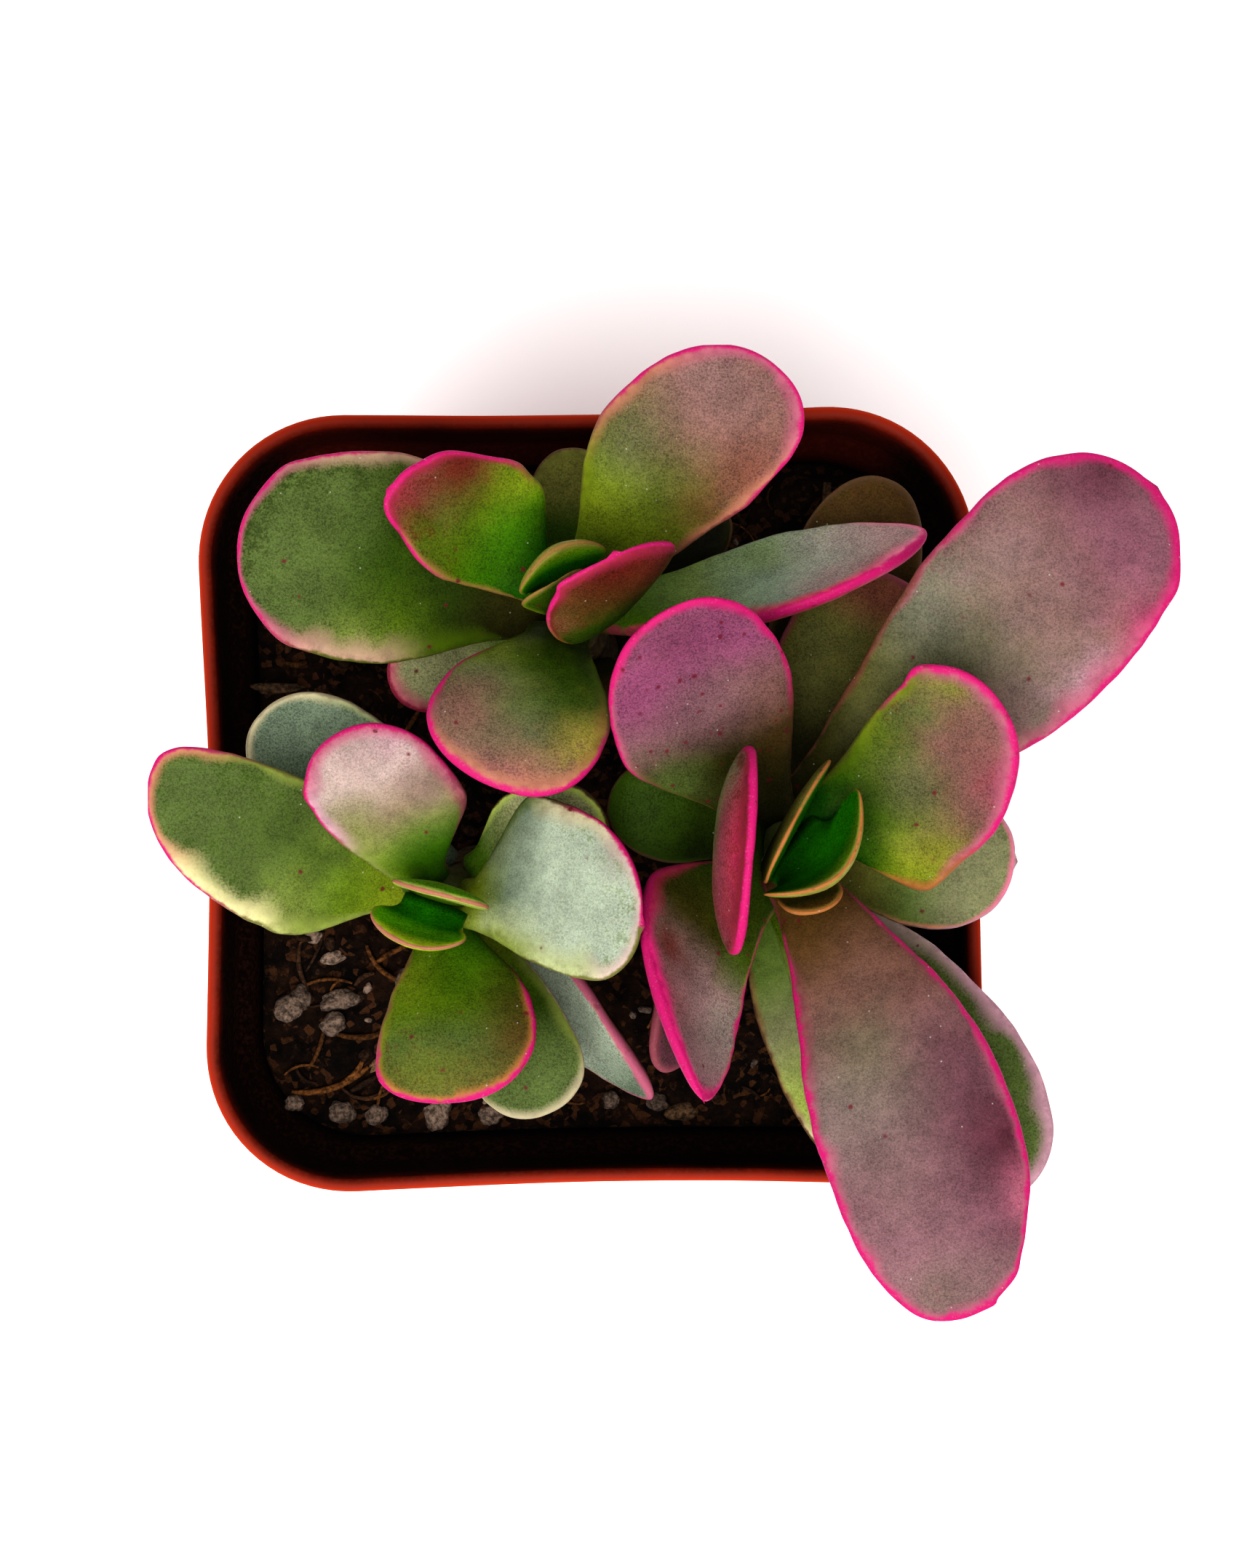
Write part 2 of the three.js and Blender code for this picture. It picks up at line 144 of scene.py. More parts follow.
STEMS = {
    "north": {"soil": (-0.5, 12.5), "apex": (-1.9, 15.9, 75.3), "radius": (2.9, 1.2)},
    "west": {"soil": (-9.5, -6.5), "apex": (-11.8, -8, 73.8), "radius": (2.8, 1.3)},
    "east": {"soil": (12.5, -3.0), "apex": (15.5, -3.4, 79.3), "radius": (3.2, 1.5)},
}

# Colours as they look on a screen under the studio light, each from 0 to 255
PALETTE = {
    "deep green": (14, 78, 0), "bright green": (62, 122, 2), "fresh green": (92, 124, 10),
    "moss": (52, 82, 4), "fern": (81, 100, 41), "dark green": (36, 54, 2), "leaf green": (94, 116, 48),
    "olive": (108, 108, 40), "dark olive": (52, 50, 8), "brown olive": (98, 66, 24),
    "grey green": (120, 122, 82), "sage": (116, 136, 110), "stone": (148, 146, 130),
    "pale green": (192, 208, 180), "yellow green": (138, 158, 24), "lime": (146, 164, 66),
    "pale lime": (206, 216, 148), "lemon": (250, 238, 166), "cream": (230, 214, 168),
    "peach": (230, 184, 150), "salmon": (222, 136, 106), "orange": (220, 132, 64), "amber": (176, 134, 62),
    "sand": (180, 156, 118), "blush": (230, 198, 188), "pale pink": (240, 176, 196),
    "rose": (226, 106, 140), "hot pink": (255, 28, 130), "magenta": (188, 40, 76), "crimson": (124, 24, 40),
    "wine": (108, 32, 22), "rust": (148, 84, 62), "mauve brown": (150, 102, 90), "mauve": (150, 98, 108),
    "grey mauve": (156, 120, 118), "plum": (118, 62, 78), "deep plum": (88, 34, 48),
    "orchid": (172, 82, 126), "dusty rose": (166, 76, 90), "tan": (112, 80, 48), "gold": (212, 184, 62),
    "dust": (240, 235, 225), "pumice": (150, 122, 104), "bark brown": (70, 42, 24),
    "bark tan": (132, 96, 64), "fibre": (128, 74, 30),
}

LEAF_DEFAULTS = {
    "cup": 0.5, "thick": 2.4, "neck": 2.2, "blunt": 2.2, "bow": 0, "roll": (0, 0), "faces": None,
    # how far the rim waves up and down, and how far a small point stands out at the tip
    "wave": 0.2, "point": 0,
    # corners of the outline: place along, side (1 left, -1 right), how far it stands out, its spread
    "corners": (),
    # colours of the left and right margins near the stem, where they differ
    "low": None,
    # where the rim line takes its own colour on the left and on the right
    "flush": (0.2, 0.2),
    # darker mottles that gather towards the edge and the tip: colour and strength
    "mottle": "dark green 0.35",
    # painted light and shade: how much paler the leaf is than its colours, for leaves that lie deep or face
    # away from the light; below 1 it is darker, as painted shade
    "lit": 1,
    "grain": 0.6, "spots": 0.15,
    # soft patches: place along, place across, radius, colour and strength
    "patches": "",
}

# The leaves, youngest first on each stem, with the solids' shapes and each leaf's own colours.
# Node is the height on the stem, left and right give the greatest half-width and its place along the leaf,
# and faces, the heading at the stem, and roll, the turn at the stem and at the tip, are in degrees.
# Skin and under are the upper and the lower face, evenly spread from the stem to the tip, margins give the
# colour and width on the left, at the end and on the right, and line is the rim line's colour and width.
NORTH_LEAVES = [
    dict(node=76, tip=(-2.3, 19.2, 82), faces=118, left=(3.6, 0.6), right=(3.8, 0.6), arch=-0.5, cup=1.2,
         thick=1.2, wave=0.4, skin="deep green, deep green, deep green, bright green, fresh green",
         under="bright green, olive", margins="fresh green 0.3, olive 0.4, fresh green 0.3", line="amber 0.1",
         lit=2.5),
    dict(node=76, tip=(-2.8, 16.5, 81.5), faces=-62, left=(2.7, 0.6), right=(2.8, 0.6), arch=0, cup=0.4,
         neck=1.8, thick=1, skin="dark green, dark green, moss, fresh green, fresh green",
         under="dark green, moss", margins="fresh green 0.4, olive 0.5, fresh green 0.4", line="amber 0.16",
         lit=1.6),
    dict(node=73.5, tip=(-15, 23.6, 82), left=(3.7, 0.62), right=(6.6, 0.34), arch=-1.2, cup=1.6, neck=1.7,
         blunt=2.6, point=0.35, corners=((0.5, -1, 0.5, 0.12), (0.95, -1, -0.5, 0.04), (0.85, 1, -0.9, 0.14)),
         skin="deep green, bright green, fresh green, olive, rust", under="leaf green, wine",
         margins="amber 0.5, magenta 0.7 0.4", low="amber, yellow green", line="hot pink 0.26",
         flush=(0.6, 0.5), mottle="wine 0.6", lit=1.1,
         patches="0.78 -0.75 3 wine 1, 0.9 0.1 2.4 wine 0.5, 0.97 0 2 magenta 0.5, "
                 "0.42 -1 2.4 yellow green 0.9, 0.7 0.5 3 fresh green 0.7, 0.3 0 3 bright green 0.6"),
    dict(node=73.5, tip=(2.1, 18.5, 85.5), faces=-53, left=(6.2, 0.6), right=(5.6, 0.66), arch=-1.6, cup=0.9,
         neck=1.6, thick=1.8, point=0.5, corners=((0.93, -1, 0.7, 0.05),), skin="moss, moss, wine",
         under="dark green, moss, moss, brown olive, wine", margins="magenta 0.4 0.7, wine 0.4",
         low="moss, orange", line="hot pink 0.17", flush=(0.3, 0.6), mottle="wine 0.6", lit=1.15,
         patches="0.8 0.6 2.5 wine 0.8, 0.6 -0.9 1.6 rust 0.6"),
    dict(node=70.5, tip=(14.8, 33, 80), left=(8, 0.55), right=(5.2, 0.8), arch=1, cup=0.8, neck=2.4,
         corners=((0.62, -1, 0.3, 0.08),), skin="fresh green, fresh green, olive, mauve brown, mauve brown",
         under="olive, plum", margins="salmon 0.9, rose 0.9, salmon 0.7", low="yellow green, rust",
         line="hot pink 0.3", flush=(0.5, 0.6), mottle="plum 0.5", lit=1.08,
         patches="0.26 0.4 3.6 yellow green 1, 0.26 -0.3 3.2 yellow green 0.8, 0.5 0.6 3 grey green 0.6, "
                 "0.5 -0.6 3 brown olive 0.8, 0.7 -0.75 3 rust 0.9, 0.85 0.4 3.5 grey mauve 0.5"),
    dict(node=70.5, tip=(-5.8, 0.6, 81), left=(6, 0.62), right=(8, 0.66), arch=1.6, cup=0.4, neck=2.6,
         skin="dark green, moss, leaf green, grey green, mauve brown", under="olive, plum",
         margins="amber 1, salmon 1, dusty rose 0.5", low="fresh green, fresh green", line="hot pink 0.36",
         flush=(0.6, 0.2), mottle="plum 0.6", lit=1.15,
         patches="0.28 -0.7 3.2 yellow green 1, 0.5 -0.6 3 grey green 0.9, 0.7 -0.7 3 mauve brown 0.9, "
                 "0.45 0.4 3 moss 0.7, 0.72 0.8 2.6 gold 0.65, 0.95 0.1 2 salmon 0.4"),
    dict(node=66.5, tip=(-27.3, 18.9, 74), left=(7.8, 0.6), right=(9, 0.54), arch=1, bow=-1.2, cup=0.6,
         neck=2.8, corners=((0.86, 1, 0.35, 0.06), (0.86, -1, 0.4, 0.06)),
         skin="dark olive, dark green, moss, leaf green, leaf green", under="olive, grey green",
         margins="peach 1.7, rose 0.5, peach 0.9", low="fresh green, salmon", line="hot pink 0.24",
         flush=(0.85, 0.6), mottle="dark green 0.8", lit=1.05, spots=0.3,
         patches="0.5 0.6 3.5 fresh green 0.9, 0.62 0.85 2.6 lime 0.8, 0.85 0.5 4 leaf green 0.5, "
                 "0.6 -0.8 3 leaf green 0.6, 0.55 0.05 3 moss 0.5"),
    dict(node=66.5, tip=(26.6, 21.3, 70), left=(5.5, 0.6), right=(6, 0.6), arch=1, bow=-1.8, roll=(-50, -62),
         cup=1.4, neck=2.6, blunt=1.8, skin="moss, leaf green, sage, stone, grey mauve",
         under="dark olive, dusty rose", margins="sage 0.4, rose 0.7, magenta 1.1", line="hot pink 0.35",
         flush=(0.9, 0.4), mottle="leaf green 0.4", lit=1.7,
         patches="0.5 0.6 3 leaf green 0.6, 0.7 -0.7 2.6 grey mauve 0.8, 0.86 -0.7 2.2 dusty rose 0.9"),
    dict(node=61, tip=(-15.9, 9.2, 66), left=(3.7, 0.6), right=(3.7, 0.6), arch=0.6, neck=2,
         skin="leaf green, leaf green, grey green, grey green, grey green", under="olive, grey green",
         margins="rust 0.6, dusty rose 0.8 0.6", line="magenta 0.3", lit=2.3),
    dict(node=57, tip=(-1.5, 28.6, 60), left=(3.7, 0.6), right=(3.7, 0.6), arch=0.6, neck=2,
         skin="moss, moss, moss, olive, olive", under="dark olive, olive", margins="olive 0.5 0.6 0.5",
         line="tan 0.2", lit=1.5),
    dict(node=57, tip=(2, 8, 62), left=(2.6, 0.6), right=(2.6, 0.6), arch=0.4, cup=0.3, neck=1.6, thick=1.6,
         skin="dark olive, dark olive, brown olive", under="dark olive, olive", margins="tan 0.4 0.5 0.4",
         line="tan 0.2"),
    dict(node=55, tip=(11.1, 23.6, 59), left=(3.1, 0.6), right=(3.1, 0.6), arch=0.6, neck=2,
         skin="dark olive, dark olive, dark olive", under="dark olive, dark olive",
         margins="olive 0.5 0.6 0.5", line="tan 0.2", lit=0.28),
]
WEST_LEAVES = [
    dict(node=74.5, tip=(-13.4, -11.1, 79.5), faces=-105, left=(3.5, 0.6), right=(4.2, 0.6), arch=-0.6, cup=1,
         neck=2.6, thick=1.2, wave=0.4,
         skin="deep green, deep green, bright green, bright green, yellow green", under="leaf green, olive",
         margins="yellow green 0.4 0.5, fresh green 0.3", line="salmon 0.1", lit=2.2),
    dict(node=74.5, tip=(-11, -7.2, 80.5), faces=75, left=(3.9, 0.6), right=(3.9, 0.6), arch=-0.3, cup=0.3,
         neck=2.4, thick=1.2, wave=0.7, skin="moss, lime, lime", under="lime, bright green",
         margins="lime 0.2 0.3 0.2", line="salmon 0.09", lit=2.3),
    dict(node=72.5, tip=(-19.2, 5.2, 79), left=(4.6, 0.7), right=(6.4, 0.38), arch=0.8, cup=0.6, neck=2,
         corners=((0.8, 1, 0.3, 0.06),), skin="bright green, lime, sand, blush, blush", under="olive, mauve",
         margins="pale pink 0.9, rose 0.8 0.9", low="lime, dusty rose", line="hot pink 0.26",
         flush=(0.5, 0.5), mottle="grey mauve 0.6", lit=1.08, grain=0.35, spots=0.5,
         patches="0.12 0.6 2 yellow green 0.8, 0.5 -0.6 2.4 grey mauve 0.7, 0.5 0.6 2.6 lime 0.6, "
                 "0.2 -0.2 2.4 bright green 0.6, 0.88 -0.6 1.8 pale pink 0.8, 0.86 -0.1 2 grey mauve 0.25"),
    dict(node=71.5, tip=(4.2, -9.5, 81), left=(9, 0.38), right=(4.6, 0.78), arch=0.8, cup=0.6, neck=2,
         point=0.3, skin="yellow green, sage, pale green, pale green, pale green", under="olive, sage",
         margins="cream 1, blush 0.6, pale lime 1.7", low="leaf green, lime", line="hot pink 0.22",
         flush=(0.6, 1.2), mottle="leaf green 0.6", lit=1.2, grain=0.35, spots=0.3,
         patches="0.12 0.6 2.4 dark green 0.8, 0.28 -0.6 3 pale lime 0.9, 0.3 0.5 3 pale green 0.4, "
                 "0.9 0.6 1.5 grey mauve 0.5"),
    dict(node=69.5, tip=(-9.9, -23.2, 78), left=(6.5, 0.6), right=(6.1, 0.82), arch=1, cup=0.6, neck=2.4,
         skin="bright green, fresh green, fresh green, leaf green, olive", under="olive, leaf green",
         margins="orange 0.5 0.6, yellow green 0.45", low="fresh green, amber", line="hot pink 0.36",
         flush=(0.35, 0.7), mottle="brown olive 0.6", lit=1.12, spots=0.9,
         patches="0.3 -0.6 3 yellow green 0.7, 0.5 0.75 3 dark olive 0.7, 0.72 0.8 2.6 brown olive 0.8, "
                 "0.86 -0.4 2.6 yellow green 0.2, 0.35 0.1 2.4 bright green 0.5"),
    dict(node=67, tip=(-33.5, 3, 76), left=(8.2, 0.43), right=(3.7, 0.5), arch=1, cup=0.8, neck=2.4,
         skin="yellow green, fern, fern, fern, fern", under="olive, grey green",
         margins="lemon 1.55, salmon 0.6, lime 0.6", low="lime, lime", line="hot pink 0.26",
         flush=(0.62, 0.8), mottle="moss 0.7", lit=1.35, grain=0.5,
         patches="0.25 0.4 3.4 fresh green 0.8, 0.4 0.7 2.6 lime 0.5, 0.85 -0.4 3 fern 0.5, "
                 "0.5 0 3 moss 0.3"),
    dict(node=63.5, tip=(1.2, -0.8, 69), left=(4.8, 0.5), right=(4.8, 0.5), arch=0.8,
         skin="moss, grey green, grey green", under="olive, grey green", margins="lime 0.5 0.6 0.5",
         line="tan 0.2", lit=3.4),
    dict(node=63, tip=(-3.1, -24.9, 67), left=(4.5, 0.75), right=(4.6, 0.7), arch=0.8,
         skin="yellow green, fresh green, moss, leaf green, leaf green", under="olive, grey green",
         margins="lime 0.6, cream 0.5, olive 0.5", line="cream 0.14", lit=1.05),
    dict(node=60, tip=(-26.4, 6.8, 65), left=(4.9, 0.6), right=(6.2, 0.55), arch=0.8,
         skin="sage, sage, sage, sage, sage", under="olive, sage",
         margins="pale lime 0.5, cream 0.6, pale lime 0.5", line="cream 0.22", mottle="leaf green 0.4",
         lit=1.85),
    dict(node=57, tip=(5.1, -24.1, 62), left=(4.4, 0.55), right=(3.4, 0.55), arch=0.8, roll=(35, 62), cup=1,
         neck=2, blunt=1.7, skin="sage, pale green, pale green, pale green, sage", under="dark olive, wine",
         margins="peach 0.25, rose 0.4, peach 0.25", line="rose 0.28", lit=1.1),
]
EAST_LEAVES = [
    dict(node=80, tip=(19.2, -5.2, 87.5), faces=-42, left=(5.7, 0.7), right=(5, 0.7), arch=-0.8, cup=3,
         neck=3, thick=1.3, wave=0.5, skin="deep green, deep green, deep green, deep green, moss",
         under="leaf green, olive", margins="moss 0.3, olive 0.4, fresh green 0.4", line="orange 0.12",
         lit=2.6),
    dict(node=80, tip=(16, -0.5, 88.5), faces=151, left=(5.2, 0.6), right=(5.6, 0.6), arch=0, cup=0.3,
         neck=2.8, thick=1.2, wave=0.45, skin="deep green, deep green, deep green, deep green, deep green",
         under="dark olive, olive", margins="moss 0.2, olive 0.2, moss 0.2", line="orange 0.1", lit=1.5),
    dict(node=77.5, tip=(31.1, 7.3, 87), left=(5.4, 0.78), right=(8.8, 0.3), arch=-0.6, cup=1, neck=2,
         corners=((0.8, 1, 0.5, 0.07),), skin="deep green, fresh green, olive, mauve brown, mauve brown",
         under="olive, plum", margins="yellow green 0.9, rose 0.9 0.9", low="fresh green, orange",
         line="hot pink 0.42", flush=(0.62, 0.55), mottle="wine 0.5", spots=0.3,
         patches="0.2 0 3 deep green 0.6, 0.28 -0.8 2.8 yellow green 0.9, 0.42 -0.75 2.4 gold 0.35, "
                 "0.5 -0.2 3 grey green 0.7, 0.7 -0.6 2.6 mauve brown 0.9, 0.84 -0.6 2.6 dusty rose 1, "
                 "0.5 0.7 2.8 fresh green 0.7, 0.7 0.6 2.6 leaf green 0.7, 0.9 0.7 1.8 yellow green 0.7"),
    dict(node=77.5, tip=(12.3, -3.6, 90), faces=176, left=(8.2, 0.6), right=(7.6, 0.6), arch=-1.6, cup=1,
         neck=1.8, wave=0.35, skin="moss, moss, rust",
         under="dark green, leaf green, grey green, dusty rose, magenta",
         margins="magenta 0.4, crimson 0.8, magenta 0.5", low="moss, moss", line="hot pink 0.26",
         flush=(0.1, 0.1), mottle="wine 0.7", lit=1.2,
         patches="0.6 -0.8 3 grey green 0.9, 0.4 -0.3 2.5 leaf green 0.7, 0.5 0.4 3 magenta 0.4, "
                 "0.8 0.6 3 crimson 0.5"),
    dict(node=74.5, tip=(27.5, -39.4, 83), left=(8, 0.63), right=(7.3, 0.58), arch=2.5, bow=2.2, cup=0.6,
         neck=2.4, thick=2.8, point=0.4, corners=((0.978, 1, 0.4, 0.008), (0.93, 1, 0.25, 0.03)),
         skin="brown olive, mauve brown, grey mauve, mauve, grey mauve", under="olive, plum",
         margins="rose 0.6 0.7 0.8", low="dusty rose, dusty rose", line="hot pink 0.5", flush=(0.1, 0.1),
         mottle="plum 0.5", grain=0.45, spots=0.45,
         patches="0.5 0.6 5 plum 0.75, 0.66 0.65 4.5 plum 1, 0.67 0.85 2.8 deep plum 0.9, "
                 "0.83 0.6 3.5 plum 0.5, 0.78 1 2 rose 1, 0.88 -0.2 5 orchid 0.35, "
                 "0.52 -0.5 5 stone 0.35, 0.72 -0.3 4 grey mauve 0.6, 0.42 -0.2 3.4 grey green 0.5, "
                 "0.93 -0.1 3 grey green 0.35"),
    dict(node=74.5, tip=(6.6, 14.6, 87), left=(8.4, 0.48), right=(6.2, 0.6), arch=-1, cup=0.6, neck=2.4,
         skin="dark olive, dark olive, mauve, orchid, orchid", under="olive, plum",
         margins="rose 0.5, hot pink 0.5 0.45", low="olive, brown olive", line="hot pink 0.27",
         flush=(0.35, 0.5), mottle="plum 0.7", spots=3,
         patches="0.3 0.7 2.8 leaf green 0.9, 0.3 -0.7 3 brown olive 0.7, 0.5 -0.7 3 mauve brown 0.6, "
                 "0.72 0.7 2.6 orchid 0.7, 0.6 0.1 3 grey mauve 0.5, 0.92 0.2 2.6 plum 0.4"),
    dict(node=71, tip=(43.6, 24, 79), left=(8.6, 0.74), right=(8.6, 0.64), arch=2.5, cup=0.8, neck=2.8,
         thick=2.8, point=0.2, corners=((0.9, -1, 0.35, 0.03),),
         skin="dark olive, olive, grey green, mauve brown, mauve", under="olive, plum",
         margins="rose 0.5, hot pink 0.7, rose 1.35", low="rust, peach", line="hot pink 0.42",
         flush=(0.6, 0.35), mottle="plum 0.6", lit=1.05, grain=0.45, spots=0.35,
         patches="0.5 -0.6 4.5 grey mauve 0.8, 0.7 0.6 4.5 grey mauve 0.8, 0.5 0.6 4 stone 0.5, "
                 "0.93 0.45 3.6 plum 1, 0.8 -1 2.4 hot pink 0.7, 0.64 -0.95 2.6 pale pink 1, "
                 "0.3 0 4 grey green 0.5, 0.7 -0.1 4 grey mauve 0.6, 0.86 -0.3 4 orchid 0.35"),
    dict(node=71, tip=(8.8, -22.5, 84), left=(3.8, 0.72), right=(7.4, 0.3), arch=-1, bow=-2.6,
         roll=(-10, -50), cup=1, neck=2.4, blunt=1.7, point=0.5,
         skin="dark green, dark olive, grey mauve, grey mauve, mauve", under="olive, orchid",
         margins="lime 0.4, hot pink 0.8 1.1", low="yellow green, magenta", line="hot pink 0.5",
         mottle="plum 0.6", lit=1.6, spots=0.5,
         patches="0.3 -0.5 2.4 dark olive 0.9, 0.5 -0.6 2 wine 0.8, 0.72 -0.6 2.4 dusty rose 0.7, "
                 "0.4 0.7 3 moss 0.7, 0.66 0.6 3 stone 0.5, 0.8 0.1 3 stone 0.3"),
    dict(node=77.2, tip=(17.8, -8.3, 83), faces=-76, left=(2.5, 0.6), right=(2.5, 0.6), arch=-0.4, neck=0.9,
         thick=1, skin="moss, olive, brown olive, dark olive, brown olive", under="leaf green, olive",
         margins="olive 0.3, amber 0.4, olive 0.3", line="orange 0.2", lit=1.6),
    dict(node=65.5, tip=(33.6, -4.8, 70), left=(6.3, 0.6), right=(5.9, 0.6), arch=1, cup=0.6, neck=2.4,
         point=0.25, corners=((0.93, 1, -0.4, 0.06),),
         skin="dark olive, olive, leaf green, grey green, grey green", under="olive, grey green",
         margins="rose 0.25 0.4, salmon 0.3", low="olive, olive", line="pale pink 0.16", flush=(0.6, 0.6),
         lit=1.6, grain=0.4),
    dict(node=65.5, tip=(1.6, 0.2, 68), left=(3.8, 0.5), right=(4.2, 0.5), arch=0.6, cup=0.6, neck=2.4,
         skin="dark green, dark green, moss, moss, moss", under="dark green, dark green",
         margins="moss 0.5 0.5 0.5", line="tan 0.18", lit=1.4),
    dict(node=61, tip=(34.3, -31.2, 68), left=(7.4, 0.65), right=(8, 0.65), arch=1.5, cup=0.6, neck=2.6,
         skin="fresh green, leaf green, leaf green, leaf green, leaf green", under="olive, grey green",
         margins="pale pink 1 0.9, blush 0.6", low="blush, lime", line="pale pink 0.16", flush=(0.3, 0.3),
         lit=1.25),
    dict(node=64, tip=(25, 17.6, 66), left=(6.5, 0.65), right=(5.1, 0.5), arch=1, cup=0.6, neck=2.4,
         skin="dark olive, dark olive, olive, olive, rust", under="dark olive, rust",
         margins="rust 0.4, dusty rose 0.5, rust 0.4", line="dusty rose 0.25"),
    dict(node=53.5, tip=(22.4, -30.2, 62), left=(5.4, 0.6), right=(4.3, 0.5), arch=1, neck=2.4,
         skin="moss, leaf green, grey green, lime, grey green", under="olive, lime",
         margins="lime 0.5, cream 0.6, tan 0.4", line="tan 0.2", lit=2.1, grain=0.35),
    dict(node=57, tip=(5.6, -21.6, 65), left=(3.1, 0.6), right=(4.1, 0.6), arch=0.6, roll=(-20, -50), cup=0.8,
         neck=2, skin="dark olive, plum, plum", under="olive, plum", margins="dusty rose 0.4 0.5 0.4",
         line="dusty rose 0.3", lit=0.9),
    dict(node=58, tip=(24.2, 26, 61), left=(5.3, 0.65), right=(5.3, 0.65), arch=1, neck=2.4,
         skin="dark olive, dark olive, brown olive", under="dark olive, dark olive",
         margins="tan 0.4 0.5 0.4", line="tan 0.25", lit=0.95),
]
LEAVES = {"north": NORTH_LEAVES, "west": WEST_LEAVES, "east": EAST_LEAVES}


# Small helpers
def linear(name):
    """The share of light that a surface of a palette colour gives back."""
    shares = np.array(PALETTE[name]) / 255
    light = np.where(shares <= 0.04045, shares / 12.92, ((shares + 0.055) / 1.055) ** 2.4)
    return LOOK_GREY * (light / LOOK_GREY) ** (1 / LOOK_POWER) / LIGHT_LEVEL


def colour4(name):
    return (*linear(name), 1.0)


def tones(text):
    """Each colour of a list, paired with each number behind it."""
    pairs = []
    for part in text.split(", "):
        words = part.split()
        name = " ".join(word for word in words if word.isalpha())
        pairs += [(name, float(word)) for word in words if not word.isalpha()]
    return pairs


def lerp(a, b, t):
    return a + (b - a) * t


def smooth(t):
    t = np.clip(t, 0, 1)
    return t * t * (3 - 2 * t)


def unit(v):
    return v / np.linalg.norm(v, axis=-1, keepdims=True)


def rotated(flat, angle):
    """Flat points turned about the origin, counter-clockwise seen from above."""
    cosine, sine = math.cos(angle), math.sin(angle)
    return flat @ np.array([[cosine, sine], [-sine, cosine]])


def noise_at(points, size, seed):
    """Smooth noise from -1 to 1 at each point, with lumps about as wide as size."""
    shift = Vector((seed * 7.13, seed * 3.71, seed * 5.37))
    return np.array([noise.noise(Vector(p) / size + shift) for p in points])


def edge_noise(along, edge, size, seed):
    """Noise that changes along a leaf's edge, with a number that sets one edge apart from the other."""
    return noise_at(np.stack([along, along * 0 + edge, along * 0], -1), size, seed)


def seeded_random(seed):
    """The solids' random numbers, so that the lumps of soil are the same ones."""
    state = seed
    while True:
        state = (state * 16807) % 2147483647
        yield state / 2147483647


def ring_faces(rings, count):
    """Faces of a closed tube of rings. The first and last end points come after the rings' points."""
    faces = []
    for i in range(rings - 1):
        for j in range(count):
            a = i * count + j
            b = i * count + (j + 1) % count
            faces.append((a, b, b + count, a + count))
    last = (rings - 1) * count
    end = rings * count
    faces += [(end, (j + 1) % count, j) for j in range(count)]
    faces += [(end + 1, last + j, last + (j + 1) % count) for j in range(count)]
    return faces


def add_piece(name, points, faces, material, replaces=()):
    """Makes one piece, kept inside the solids' box."""
    mesh = bpy.data.meshes.new(name)
    inside = np.clip(np.asarray(points, float) * MM, *np.array(cad_box, float))
    mesh.from_pydata(inside.tolist(), [], faces)
    mesh.shade_smooth()
    mesh.materials.append(material)
    piece = bpy.data.objects.new(name, mesh)
    bpy.context.scene.collection.objects.link(piece)
    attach(piece, "root")
    if replaces:
        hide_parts(*replaces)
    return piece


def add_number(mesh, name, values):
    attribute = mesh.attributes.new(name, "FLOAT", "POINT")
    attribute.data.foreach_set("value", np.asarray(values, np.float32))


def add_colour(mesh, name, colours):
    attribute = mesh.attributes.new(name, "FLOAT_COLOR", "POINT")
    rgba = np.hstack([colours, np.ones((len(colours), 1))])
    attribute.data.foreach_set("color", rgba.astype(np.float32).ravel())


